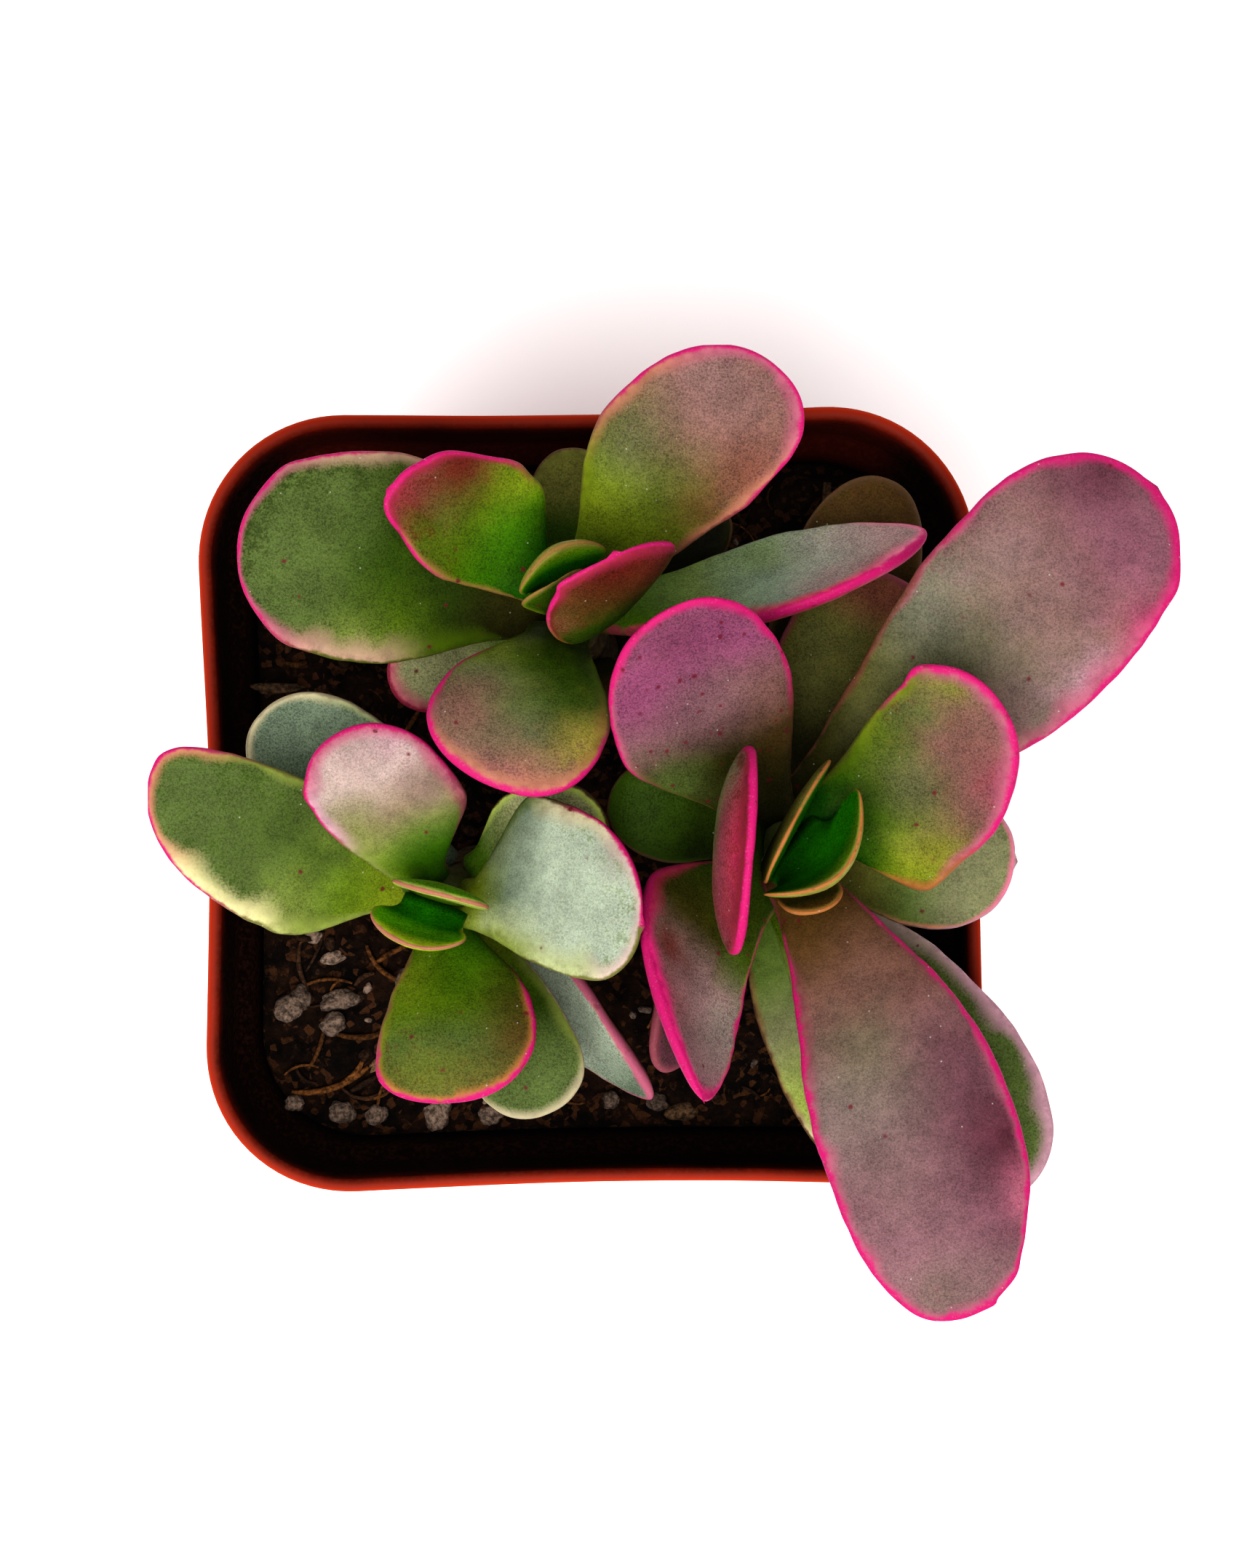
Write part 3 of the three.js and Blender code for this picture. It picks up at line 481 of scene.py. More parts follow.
class Shader:
    """A material with its Principled shader, and short calls for the nodes that feed it."""

    def __init__(self, name):
        self.material = bpy.data.materials.new(name)
        self.material.use_nodes = True
        self.tree = self.material.node_tree

    def node(self, kind, inputs=None, **settings):
        made = self.tree.nodes.new(kind)
        for key, value in settings.items():
            setattr(made, key, value)
        for key, value in (inputs or {}).items():
            self.feed(made.inputs[key], value)
        return made

    def feed(self, socket, value):
        if isinstance(value, bpy.types.NodeSocket):
            self.tree.links.new(value, socket)
        else:
            socket.default_value = value

    def finish(self, **settings):
        """Feeds the Principled shader and gives back the material."""
        principled = self.tree.nodes["Principled BSDF"]
        for socket, value in settings.items():
            self.feed(principled.inputs[socket.replace("_", " ")], value)
        return self.material

    def place(self):
        return self.node("ShaderNodeTexCoord").outputs["Object"]

    def height(self, place):
        return self.node("ShaderNodeSeparateXYZ", {0: place}).outputs["Z"]

    def attribute(self, name, output="Fac"):
        return self.node("ShaderNodeAttribute", attribute_name=name).outputs[output]

    def noise(self, place, scale, detail=2.0, roughness=0.5):
        inputs = {"Vector": place, "Scale": scale, "Detail": detail, "Roughness": roughness}
        return self.node("ShaderNodeTexNoise", inputs).outputs["Fac"]

    def cells(self, place, scale, output="Distance"):
        return self.node("ShaderNodeTexVoronoi", {"Vector": place, "Scale": scale}).outputs[output]

    def chance(self, place, scale):
        """A random number for each cell."""
        return self.node("ShaderNodeSeparateColor", {0: self.cells(place, scale, "Color")}).outputs[0]

    def math(self, operation, a, b):
        return self.node("ShaderNodeMath", {0: a, 1: b}, operation=operation).outputs[0]

    def plus(self, total, *others):
        for other in others:
            total = self.math("ADD", total, other)
        return total

    def times(self, a, b):
        return self.math("MULTIPLY", a, b)

    def span(self, value, low, high, to_low=0.0, to_high=1.0):
        """The value's place between low and high, eased, as a number from to_low to to_high."""
        inputs = {"Value": value, "From Min": low, "From Max": high, "To Min": to_low, "To Max": to_high}
        return self.node("ShaderNodeMapRange", inputs, interpolation_type="SMOOTHSTEP").outputs["Result"]

    def mix(self, share, a, b):
        return self.node("ShaderNodeMix", {0: share, 6: a, 7: b}, data_type="RGBA").outputs[2]

    def scaled(self, colour, amount):
        return self.node("ShaderNodeVectorMath", {0: colour, "Scale": amount}, operation="SCALE").outputs[0]

    def bump(self, height, strength, distance):
        inputs = {"Height": height, "Strength": strength, "Distance": distance}
        return self.node("ShaderNodeBump", inputs).outputs["Normal"]


def leaf_skin():
    """Waxy skin: a painted field, mottles, grain, a speckled margin, a thin rim line, dots and dust."""
    shader = Shader("leaf_skin")
    place = shader.place()
    broad = shader.noise(place, 300, 3)
    medium = shader.noise(place, 1000, 4, 0.6)
    grain = shader.noise(place, 5600, 2, 0.6)
    fine = shader.noise(place, 9500, 1)
    strength = shader.attribute("grain")

    value = shader.times(shader.span(broad, 0.3, 0.7, 0.86, 1.1), shader.span(medium, 0.3, 0.7, 0.9, 1.1))
    dark = shader.times(shader.span(grain, 0.42, 0.66, 0.12, -0.42), strength)
    pale = shader.times(shader.span(fine, 0.35, 0.75, -0.2, 0.4), strength)
    value = shader.plus(value, dark, pale)
    field = shader.scaled(shader.attribute("skin", "Color"), value)

    mottle = shader.attribute("mottle")
    reached = shader.plus(medium, shader.times(mottle, 0.25), shader.times(grain, 0.35))
    blotch = shader.times(shader.span(reached, 0.74, 0.98), mottle)
    field = shader.mix(blotch, field, shader.scaled(shader.attribute("blotch", "Color"), value))

    drift = shader.times(shader.plus(medium, -0.5), 0.9)
    speckle = shader.times(shader.plus(grain, -0.5), 0.8)
    border = shader.plus(shader.attribute("border"), drift, speckle)
    tone = shader.times(shader.span(medium, 0.3, 0.7, 0.8, 1.15), shader.span(grain, 0.3, 0.7, 0.9, 1.1))
    margin = shader.scaled(shader.attribute("margin", "Color"), tone)
    colour = shader.mix(shader.span(border, 0.15, 1.7, 1.0, 0.0), field, margin)

    line = shader.plus(shader.attribute("line"), shader.times(drift, 2.0))
    rim = shader.attribute("rim", "Color")
    rim = shader.mix(shader.span(medium, 0.56, 0.7, 0.0, 0.45), rim, colour4("crimson"))
    # painted highlight: pale blush flecks along the rim line
    rim = shader.mix(shader.span(grain, 0.55, 0.75, 0.0, 0.25), rim, colour4("blush"))
    colour = shader.mix(shader.span(line, 0.4, 1.5, 1.0, 0.0), colour, rim)

    dots_per_metre = 800
    uneven = shader.plus(shader.times(drift, 0.4), shader.times(speckle, 0.3))
    away = shader.plus(shader.cells(place, dots_per_metre), uneven)
    shown = shader.math("GREATER_THAN", shader.attribute("spots"), shader.chance(place, dots_per_metre))
    dots = shader.times(shader.span(away, 0.06, 0.2, 0.85, 0.0), shown)
    colour = shader.mix(dots, colour, colour4("crimson"))
    dust_per_metre = 1300
    shown = shader.math("GREATER_THAN", shader.chance(place, dust_per_metre), 0.86)
    dust = shader.times(shader.span(shader.cells(place, dust_per_metre), 0.05, 0.12, 0.7, 0.0), shown)
    colour = shader.mix(dust, colour, colour4("dust"))
    return shader.finish(
        Base_Color=colour, Roughness=shader.span(grain, 0.2, 0.8, 0.42, 0.62), Specular_IOR_Level=0.1,
        Subsurface_Weight=0.12, Subsurface_Radius=(1.0, 0.6, 0.3), Subsurface_Scale=1.0 * MM,
        Normal=shader.bump(shader.plus(grain, medium), 0.35, 0.08 * MM),
    )


# Stems
def stem_point(stem, z):
    t = (z - SOIL_LEVEL) / (stem["apex"][2] - SOIL_LEVEL)
    return np.array([lerp(stem["soil"][k], stem["apex"][k], t) for k in (0, 1)] + [z])


def stem_radius(stem, z):
    t = (z - SOIL_LEVEL) / (stem["apex"][2] - SOIL_LEVEL)
    return 0 if t > 1 else lerp(*stem["radius"], max(t, 0))


def stem_skin():
    """Green near the top, turning to rough brown cork lower down."""
    shader = Shader("stem_skin")
    place = shader.place()
    grain = shader.noise(place, 1800, 4, 0.65)
    uneven = shader.times(shader.noise(place, 180, 3), 10 * MM)
    cork = shader.span(shader.plus(shader.height(place), uneven), 60 * MM, 76 * MM, 1.0, 0.0)
    green = shader.mix(grain, colour4("olive"), colour4("leaf green"))
    brown = shader.mix(shader.span(grain, 0.3, 0.7), (0.05, 0.03, 0.018, 1), (0.2, 0.14, 0.08, 1))
    return shader.finish(
        Base_Color=shader.mix(cork, green, brown), Roughness=0.6, Normal=shader.bump(grain, 0.5, 0.3 * MM),
    )


def build_stem(side, stem, material):
    """A leaning stem with a round top, slightly thicker where leaves grow from it."""
    nodes = np.array(sorted({leaf["node"] for leaf in LEAVES[side]}))
    bottom = SOIL_LEVEL - STEM_DEPTH
    top = stem["apex"][2]
    levels = [lerp(bottom, top, i / STEM_STEPS) for i in range(STEM_STEPS + 1)]
    centres = np.array([stem_point(stem, z) for z in levels])
    angles = np.arange(STEM_SIDES) * 2 * math.pi / STEM_SIDES
    spokes = np.stack([np.cos(angles), np.sin(angles), angles * 0], 1)
    rings = []
    for z, centre in zip(levels, centres):
        dome = math.sqrt(max(0.0, 1 - max(0.0, (z - (top - STEM_DOME)) / STEM_DOME) ** 2))
        swell = NODE_SWELL * np.exp(-((z - nodes) / NODE_LENGTH) ** 2).sum() - STEM_WAIST
        rings.append(centre + (stem_radius(stem, z) + swell) * max(dome, 0.12) * spokes)
    points = np.vstack(rings)
    outward = unit(points - np.repeat(centres, STEM_SIDES, 0) + 1e-9)
    points += outward * 0.12 * noise_at(points * (1, 1, 0.5), 1.6, 3)[:, None]
    ends = [stem_point(stem, bottom), stem_point(stem, top)]
    faces = ring_faces(STEM_STEPS + 1, STEM_SIDES)
    add_piece(f"fine_stem_{side}", np.vstack([points, ends]), faces, material, [f"stem_{side}"])


# Leaves
def width_share(t, widest, neck, blunt):
    """Half-width at t as a share of the greatest."""
    rise = np.sin((math.pi / 2) * np.clip(t / widest, 0, 1)) ** 1.5
    fall = np.clip((t - widest) / (1 - widest), 0, 1)
    return np.where(t < widest, neck + (1 - neck) * rise, np.maximum(0, 1 - fall ** blunt) ** (1 / blunt))


def leaf_frame(stem, leaf):
    """The leaf's centre line as a function of t, and its sideways direction."""
    tip = np.array(leaf["tip"], float)
    centre = stem_point(stem, leaf["node"])
    if leaf["faces"] is None:
        heading = math.atan2(tip[1] - centre[1], tip[0] - centre[0])
    else:
        heading = math.radians(leaf["faces"])
    out = np.array([math.cos(heading), math.sin(heading), 0])
    side = np.array([-out[1], out[0], 0])
    root = centre
    over = np.array([0, 0, 1.0])

    def spine(t):
        t = np.asarray(t, float)[..., None]
        bulge = 4 * t * (1 - t)
        return lerp(root, tip, t) + bulge * (leaf["arch"] * over + leaf["bow"] * side)

    # the leaf's slope sets how far its root stands off the stem, and the root sets the slope
    for _ in range(3):
        start = unit(spine(0.02) - spine(0))
        clearance = stem_radius(stem, leaf["node"]) + GAP + abs(start[2]) * leaf["thick"] / 2
        root = centre + out * clearance
        over = unit(np.cross(unit(tip - root), side))
    return spine, side


def half_width(leaf, side, t, length, seed):
    """Half-width on one side, left 1 or right -1, with its small waves and its corners."""
    width, widest = leaf["left"] if side > 0 else leaf["right"]
    half = width * width_share(t, widest, leaf["neck"] / width, leaf["blunt"])
    ragged = 0.028 * width * edge_noise(t * length, 9 * side, 4.5, seed + 11)
    ragged += 0.07 * edge_noise(t * length, 9 * side, 1.3, seed + 12)
    for at, corner_side, push, spread in leaf["corners"]:
        if corner_side == side:
            half = half + push * np.exp(-(((t - at) / spread) ** 2)) * smooth((1 - t) / 0.015)
    return half + ragged * smooth(t / 0.2) * smooth((1 - t) / 0.06)


def edge_places(leaf, length, t, lateral, seed):
    """Distance of each point from the leaf's outline, and the nearest outline point's t and side."""
    steps = np.sin(np.linspace(0, math.pi / 2, 110))
    outline = []
    for sign in (1, -1):
        reach = half_width(leaf, sign, steps, length, seed)
        outline += [(s * length, sign * r, s, sign) for s, r in zip(steps, reach)]
    outline = np.array(outline)
    here = np.stack([t * length, lateral], 1)
    gaps = np.linalg.norm(here[:, None] - outline[None, :, :2], axis=2)
    near = gaps.argmin(1)
    return gaps[np.arange(len(here)), near], outline[near, 2], outline[near, 3]


def paint_leaf(mesh, leaf, seed, points, t, lateral, upper, length):
    """Writes the colours and border distances that the skin reads."""
    width = np.where(lateral > 0, leaf["left"][0], leaf["right"][0])
    across = lateral / width
    edge, near_t, near_side = edge_places(leaf, length, t, lateral, seed)
    drift = noise_at(points, 5, seed)
    fine_drift = noise_at(points, 1.7, seed + 1)
    place = np.clip(t + 0.06 * drift, 0, 1)

    def along(names):
        colours = np.array([linear(name) for name in names.split(", ")])
        stops = np.linspace(0.12, 0.92, len(colours))
        return np.stack([np.interp(place, stops, colours[:, k]) for k in range(3)], 1)

    field = lerp(along(leaf["under"]), along(leaf["skin"]), smooth(upper * 3 + 0.5)[:, None])
    for patch in filter(None, leaf["patches"].split(", ")):
        at, side, radius, *colour, strength = patch.split()
        away = np.hypot((t - float(at)) * length, (across - float(side)) * width) / float(radius)
        share = float(strength) * np.exp(-((away * (1 + 0.35 * fine_drift + 0.2 * drift)) ** 2))
        field = lerp(field, linear(" ".join(colour)), share[:, None])

    (left, left_width), (end, end_width), (right, right_width) = tones(leaf["margins"])
    on_left = (near_side > 0)[:, None]
    low_left, low_right = leaf["low"].split(", ") if leaf["low"] else (left, right)
    low = np.where(on_left, linear(low_left), linear(low_right))
    high = np.where(on_left, linear(left), linear(right))
    to_end = smooth((near_t - 0.7) / 0.25)
    margin = lerp(lerp(low, high, smooth((near_t - 0.3) / 0.25)[:, None]), linear(end), to_end[:, None])
    band = lerp(np.where(near_side > 0, left_width, right_width), end_width, to_end)
    ripple = edge_noise(near_t * length, near_side * 9, 3, seed + 2)
    band = np.maximum(band * smooth((near_t - 0.02) / 0.3) * (1 + 0.7 * ripple), 0.02)

    [(line, line_width)] = tones(leaf["line"])
    shimmer = edge_noise(near_t * length, near_side * 9, 1.6, seed + 3)
    line_width = line_width * (1 + 0.4 * ripple + 0.5 * shimmer) * lerp(0.45, 0.9, smooth(near_t / 0.45))
    flush = np.where(near_side > 0, *leaf["flush"])
    rim = lerp(lerp(linear("tan"), low, 0.6), linear(line), smooth((near_t - flush) / 0.3 + 0.5)[:, None])

    [(blotch, mottle)] = tones(leaf["mottle"])
    gathered = (0.3 + 0.7 * np.exp(-edge / 2.5)) * smooth((t - 0.25) / 0.4) * (1 + 0.6 * drift)
    # painted light and shade: each leaf's skin and margin colours are scaled by its lit share
    add_colour(mesh, "skin", np.minimum(field * leaf["lit"], PALEST))
    add_colour(mesh, "margin", np.minimum(margin * leaf["lit"], PALEST))
    add_colour(mesh, "rim", rim)
    add_colour(mesh, "blotch", np.tile(linear(blotch), (len(t), 1)))
    add_number(mesh, "border", edge / band)
    add_number(mesh, "line", edge / np.maximum(line_width, 0.04))
    add_number(mesh, "mottle", mottle * gathered)
    add_number(mesh, "grain", np.full(len(t), leaf["grain"]))
    add_number(mesh, "spots", np.full(len(t), leaf["spots"] * SPOTTED_CELLS))


def build_leaf(name, stem, given, seed, material):
    """A thick blade in rings across its centre line, cupped, rolled and waved as its entry says."""
    leaf = {**LEAF_DEFAULTS, **given}
    spine, side = leaf_frame(stem, leaf)
    step = np.arange(LEAF_RINGS) / LEAF_RINGS
    rings_t = lerp(step, np.sin(math.pi / 2 * step), 0.9)
    length = float(np.linalg.norm(np.diff(spine(np.linspace(0, 1, 40)), axis=0), axis=1).sum())
    sunk = (GAP + ROOT_SINK) / length
    rings_t[0] = -sunk
    along = unit(spine(rings_t + 0.01) - spine(rings_t - 0.01))
    flat = unit(side - along * (along @ side)[:, None])
    up = np.cross(along, flat)
    turn = np.radians(lerp(*leaf["roll"], smooth(rings_t)))[:, None]
    across = flat * np.cos(turn) + up * np.sin(turn)
    normal = up * np.cos(turn) - flat * np.sin(turn)
    at = np.clip(rings_t, 0, 1)

    angle = np.arange(LEAF_SIDES) * 2 * math.pi / LEAF_SIDES
    cosine, sine = np.cos(angle), np.sin(angle)
    on_left = cosine > 0
    reach = np.where(on_left, *[half_width(leaf, sign, at, length, seed)[:, None] for sign in (1, -1)])
    lateral = cosine * reach
    share = (lateral / np.where(on_left, leaf["left"][0], leaf["right"][0])) ** 2
    lift = leaf["cup"] * share * smooth(at / CUP_OPENS)[:, None]
    plump = np.sign(sine) * np.abs(sine) ** 0.8
    thick = leaf["thick"] / 2 * np.sqrt(1 - at ** 5)
    waves = [edge_noise(at * length, sign * 5, 4, seed + 13)[:, None] for sign in (1, -1)]
    waves = leaf["wave"] * np.where(on_left, *waves) * share * smooth(at * 3)[:, None]
    height = lift + thick[:, None] * plump + waves
    raised = across[:, None] * lateral[..., None] + normal[:, None] * height[..., None]
    points = (spine(rings_t)[:, None] + raised).reshape(-1, 3)
    out = np.repeat(normal, LEAF_SIDES, 0) * np.tile(sine, LEAF_RINGS)[:, None]
    swell = 0.16 * noise_at(points, 6, seed + 5) + 0.05 * noise_at(points, 1.8, seed + 6)
    points = points + out * swell[:, None]

    end = spine(1) + along[-1] * leaf["point"]
    points = np.vstack([points, spine(-sunk)[None], end[None]])
    t = np.append(np.repeat(at, LEAF_SIDES), (0, 1))
    lateral = np.append(lateral.ravel(), (0, 0))
    upper = np.append(np.tile(sine, LEAF_RINGS), (0, 0))
    faces = ring_faces(LEAF_RINGS, LEAF_SIDES)
    piece = add_piece(f"fine_{name}", points, faces, material, [name])
    paint_leaf(piece.data, leaf, seed, points, t, lateral, upper, length)


# Pot
def pot_ring(z, inset, fine=(POT_STRAIGHT_POINTS, POT_CORNER_POINTS)):
    """Points round the pot at a height: a square with round corners, whose sides sag in near the rim."""
    t = z / POT_HEIGHT
    half = lerp(POT_FOOT, POT_TOP, t) / 2 - inset
    corner = lerp(POT_FOOT_CORNER, POT_TOP_CORNER, t) - inset
    straight = half - corner
    straight_points, corner_points = fine
    quarter = [(half, straight * (2 * k / straight_points - 1)) for k in range(straight_points)]
    for k in range(corner_points):
        angle = (math.pi / 2) * (k / corner_points)
        quarter.append((straight + corner * math.cos(angle), straight + corner * math.sin(angle)))
    x, y = np.vstack([rotated(np.array(quarter), k * math.pi / 2) for k in range(4)]).T
    east, north, west, south = [depth * t ** 3 for depth in RIM_SAG]
    pulled_x = x + np.where(x > 0, -east, west) * np.abs(x / half) * (1 - (y / half) ** 2) ** 2
    pulled_y = y + np.where(y > 0, -north, south) * np.abs(y / half) * (1 - (x / half) ** 2) ** 2
    flat = rotated(np.stack([pulled_x, pulled_y], 1), POT_TURN)
    return np.column_stack([flat, np.full(len(flat), z)])


def pot_plastic():
    """Thin moulded terracotta-red plastic: paler red at worn edges and, as a painted highlight, on the rim's
    top; painted shade, near black, inside below the rim.
    """
    shader = Shader("pot_plastic")
    place = shader.place()
    grain = shader.noise(place, 2600, 3, 0.6)
    red = shader.mix(shader.noise(place, 90, 3), (0.22, 0.017, 0.004, 1), (0.3, 0.026, 0.006, 1))
    scuffs = shader.span(shader.noise(place, 700, 4, 0.7), 0.62, 0.8, 0.0, 0.18)
    red = shader.mix(scuffs, red, (0.38, 0.11, 0.06, 1))
    uneven = shader.times(shader.noise(place, 260, 4), 3.5 * MM)
    level = shader.plus(shader.height(place), uneven)
    # painted shade: near black on the inside, lighter towards the rim's top
    painted_shade = shader.span(level, (POT_HEIGHT - 0.8) * MM, (POT_HEIGHT + 2.8) * MM, 0.98, 0.5)
    shade_colour = shader.mix(shader.span(grain, 0.4, 0.7), (0.004, 0.002, 0.0015, 1), (0.03, 0.012, 0.007, 1))
    colour = shader.mix(shader.times(painted_shade, shader.attribute("inside")), red, shade_colour)
    # wear and painted highlight: paler red on the worn edges and on the rim's top
    colour = shader.mix(shader.times(shader.attribute("wear_and_highlight"), 0.6), colour, (0.4, 0.045, 0.012, 1))
    return shader.finish(
        Base_Color=colour, Roughness=shader.span(grain, 0.2, 0.8, 0.5, 0.65), Specular_IOR_Level=0.12,
        Normal=shader.bump(grain, 0.2, 0.05 * MM),
    )


def build_pot(material):
    """The pot's wall from its foot up the outside, over the rim and down the inside to the floor."""
    band = POT_HEIGHT - RIM_BAND
    wall = RIM_STEP + POT_WALL
    # height, inset, how much it is inside, which sets its painted shade, and how much paler red it takes for
    # wear and, on the rim's top, for a painted highlight
    profile = [
        (0, RIM_STEP + 0.6, 0, 0), (0.15, RIM_STEP + 0.2, 0, 0.4),
        (0.5, RIM_STEP, 0, 0.3), (2, RIM_STEP, 0, 0),
    ]
    profile += [(lerp(2, band - 0.8, k / 10), RIM_STEP, 0, 0) for k in range(1, 11)]
    profile += [(band - 0.4, RIM_STEP * 0.55, 0, 0), (band - 0.1, 0.12, 0, 0.3), (band + 0.2, 0, 0, 0.5)]
    profile += [(band + 2, 0, 0, 0), (band + 5, 0, 0, 0)]
    for k, inside in enumerate((0, 0, 0, 0.1, 0.45, 0.8, 1, 1, 1)):
        angle = math.pi * k / 8
        height = POT_HEIGHT - RIM_ROUND + RIM_ROUND * math.sin(angle)
        profile.append((height, POT_WALL / 2 * (1 - math.cos(angle)), inside, 0.8 if k < 3 else 0))
    profile += [(z, POT_WALL, 1, 0) for z in (POT_HEIGHT - 1.2, band + 2, band)]
    profile += [(z, wall, 1, 0) for z in (band - 0.8, SOIL_LEVEL - 3, 20, POT_FLOOR + 0.5)]
    profile.append((POT_FLOOR, wall + 0.5, 1, 0))
    rings = [pot_ring(z, inset) for z, inset, _, _ in profile]
    count = len(rings[0])
    points = np.vstack(rings)
    lean = noise_at(points * (1, 1, 0.3), 14, 21) * 0.12 * smooth((points[:, 2] - 40) / 18)
    points[:, :2] += unit(points[:, :2]) * lean[:, None]
    ends = [rings[0].mean(0), rings[-1].mean(0)]
    faces = ring_faces(len(rings), count)
    piece = add_piece("fine_pot", np.vstack([points, ends]), faces, material, ["pot"])
    inside = np.append(np.repeat([p[2] for p in profile], count), (0, 1))
    # painted light: the north wall, where the light falls, takes less of the painted shade
    north = np.append(smooth((points[:, 1] - np.abs(points[:, 0])) / 6), (0, 0))
    add_number(piece.data, "inside", inside * (1 - 0.18 * north))
    add_number(piece.data, "wear_and_highlight", np.append(np.repeat([p[3] for p in profile], count), (0, 0)))
    cut_drains(piece)


def cut_drains(pot):
    """Cuts the drain holes through the pot's floor with one Boolean."""
    form = bmesh.new()
    radius = DRAIN_RADIUS * MM
    for x, y in product((-1, 0, 1), repeat=2):
        if x or y:
            made = bmesh.ops.create_cone(
                form, cap_ends=True, segments=32, radius1=radius, radius2=radius, depth=6 * MM,
            )
            move = Vector((x * DRAIN_SPACING, y * DRAIN_SPACING, 1)) * MM
            bmesh.ops.translate(form, verts=made["verts"], vec=move)
    cutter_mesh = bpy.data.meshes.new("drains")
    form.to_mesh(cutter_mesh)
    form.free()
    cutter = bpy.data.objects.new("drains", cutter_mesh)
    bpy.context.scene.collection.objects.link(cutter)
    cut = pot.modifiers.new("drains", "BOOLEAN")
    cut.operation = "DIFFERENCE"
    cut.object = cutter
    cut.solver = "EXACT"
    bpy.context.view_layer.update()
    evaluated = pot.evaluated_get(bpy.context.evaluated_depsgraph_get())
    finished = bpy.data.meshes.new_from_object(evaluated)
    pot.modifiers.clear()
    pot.data = finished
    bpy.data.objects.remove(cutter)


# Soil
def soil_height():
    """Height of the soil at a place, with the same lumps as the solid."""
    random = seeded_random(SOIL_SEED)
    reach = POT_TOP / 2 - POT_WALL - RIM_STEP - LUMP_RADIUS[1]
    lumps = []
    for _ in range(SOIL_LUMPS):
        x = (2 * next(random) - 1) * reach
        y = (2 * next(random) - 1) * reach
        radius = lerp(*LUMP_RADIUS, next(random))
        lumps.append((x, y, radius, lerp(*LUMP_HEIGHT, next(random) ** 2)))

    def height(x, y):
        z = SOIL_LEVEL + SOIL_SWELL * np.sin(0.21 * x + 1.1) * np.cos(0.17 * y)
        for lump_x, lump_y, radius, rise in lumps:
            away = np.hypot(x - lump_x, y - lump_y) / radius
            z = z + rise * np.maximum(0, 1 - away ** 2) ** 1.5
        return z

    return height


def soil_crumb():
    """Near-black peat with brown and tan crumbs."""
    shader = Shader("soil_crumb")
    place = shader.place()
    clods = shader.span(shader.noise(place, 420, 6, 0.7), 0.35, 0.75)
    colour = shader.mix(clods, (0.004, 0.0025, 0.002, 1), (0.045, 0.02, 0.01, 1))
    ragged = shader.plus(shader.chance(place, 1700), shader.times(shader.noise(place, 2600, 4, 0.7), 0.9))
    colour = shader.mix(shader.span(ragged, 1.1, 1.45, 0.0, 0.8), colour, (0.12, 0.052, 0.022, 1))
    return shader.finish(
        Base_Color=colour, Roughness=0.95, Specular_IOR_Level=0.15,
        Normal=shader.bump(shader.noise(place, 1900, 6, 0.75), 1.0, 0.7 * MM),
    )


def soil_bits():
    """Pumice, bark and fibres: each bit's own tint with pores and dirt."""
    shader = Shader("soil_bits")
    place = shader.place()
    grain = shader.noise(place, 2400, 5, 0.7)
    pores = shader.span(shader.cells(place, 2600), 0.1, 0.45, 0.7, 1.0)
    value = shader.times(shader.span(grain, 0.34, 0.68, 0.35, 1.6), pores)
    return shader.finish(
        Base_Color=shader.scaled(shader.attribute("tint", "Color"), value), Roughness=0.9,
        Specular_IOR_Level=0.2, Normal=shader.bump(grain, 0.9, 0.3 * MM),
    )


def surface_height(height, x, y):
    """The fine soil's height, with its crumbs."""
    flat = np.stack([x, y, x * 0], -1)
    crumbs = np.array([noise.voronoi(Vector(p) / 1.5)[0][0] for p in flat])
    rough = 0.6 * noise_at(flat, 3, 31) + 0.35 * noise_at(flat, 1.2, 32) + 0.7 * (0.45 - crumbs)
    return height(x, y) + rough


def build_soil(height, material):
    """The soil's sides, and a top in rings that shrink from the pot's wall to the middle."""
    inset = RIM_STEP + POT_WALL + GAP + 0.15
    foot = POT_FLOOR + GAP
    fine = (SOIL_STRAIGHT_POINTS, SOIL_CORNER_POINTS)
    edge = pot_ring(SOIL_LEVEL - 1, inset, fine)
    rings = [pot_ring(foot, inset + 1, fine)] + [pot_ring(z, inset, fine) for z in (foot + 1, 24)] + [edge]
    for i in range(1, SOIL_RINGS):
        share = 1 - i / SOIL_RINGS
        ring = edge * (share, share, 1)
        top = surface_height(height, ring[:, 0], ring[:, 1])
        ring[:, 2] = lerp(SOIL_LEVEL - 0.6, top, smooth(i / 5))
        rings.append(ring)
    points = np.vstack(rings + [rings[0].mean(0), rings[-1].mean(0)])
    add_piece("fine_soil", points, ring_faces(len(rings), len(edge)), material, ["soil"])


class Bits:
    """Gathers many small closed shapes into one piece."""

    def __init__(self):
        self.points = []
        self.faces = []
        self.tints = []
        self.count = 0

    def add(self, points, faces, tint):
        self.points.append(points)
        self.faces += [tuple(self.count + k for k in face) for face in faces]
        self.tints.append(np.tile(tint, (len(points), 1)))
        self.count += len(points)

    def build(self, name, material):
        piece = add_piece(name, np.vstack(self.points), self.faces, material)
        add_colour(piece.data, "tint", np.vstack(self.tints))


def ball(fineness):
    form = bmesh.new()
    bmesh.ops.create_icosphere(form, subdivisions=fineness, radius=1)
    form.verts.index_update()
    points = np.array([v.co[:] for v in form.verts])
    faces = [tuple(v.index for v in face.verts) for face in form.faces]
    form.free()
    return points, faces


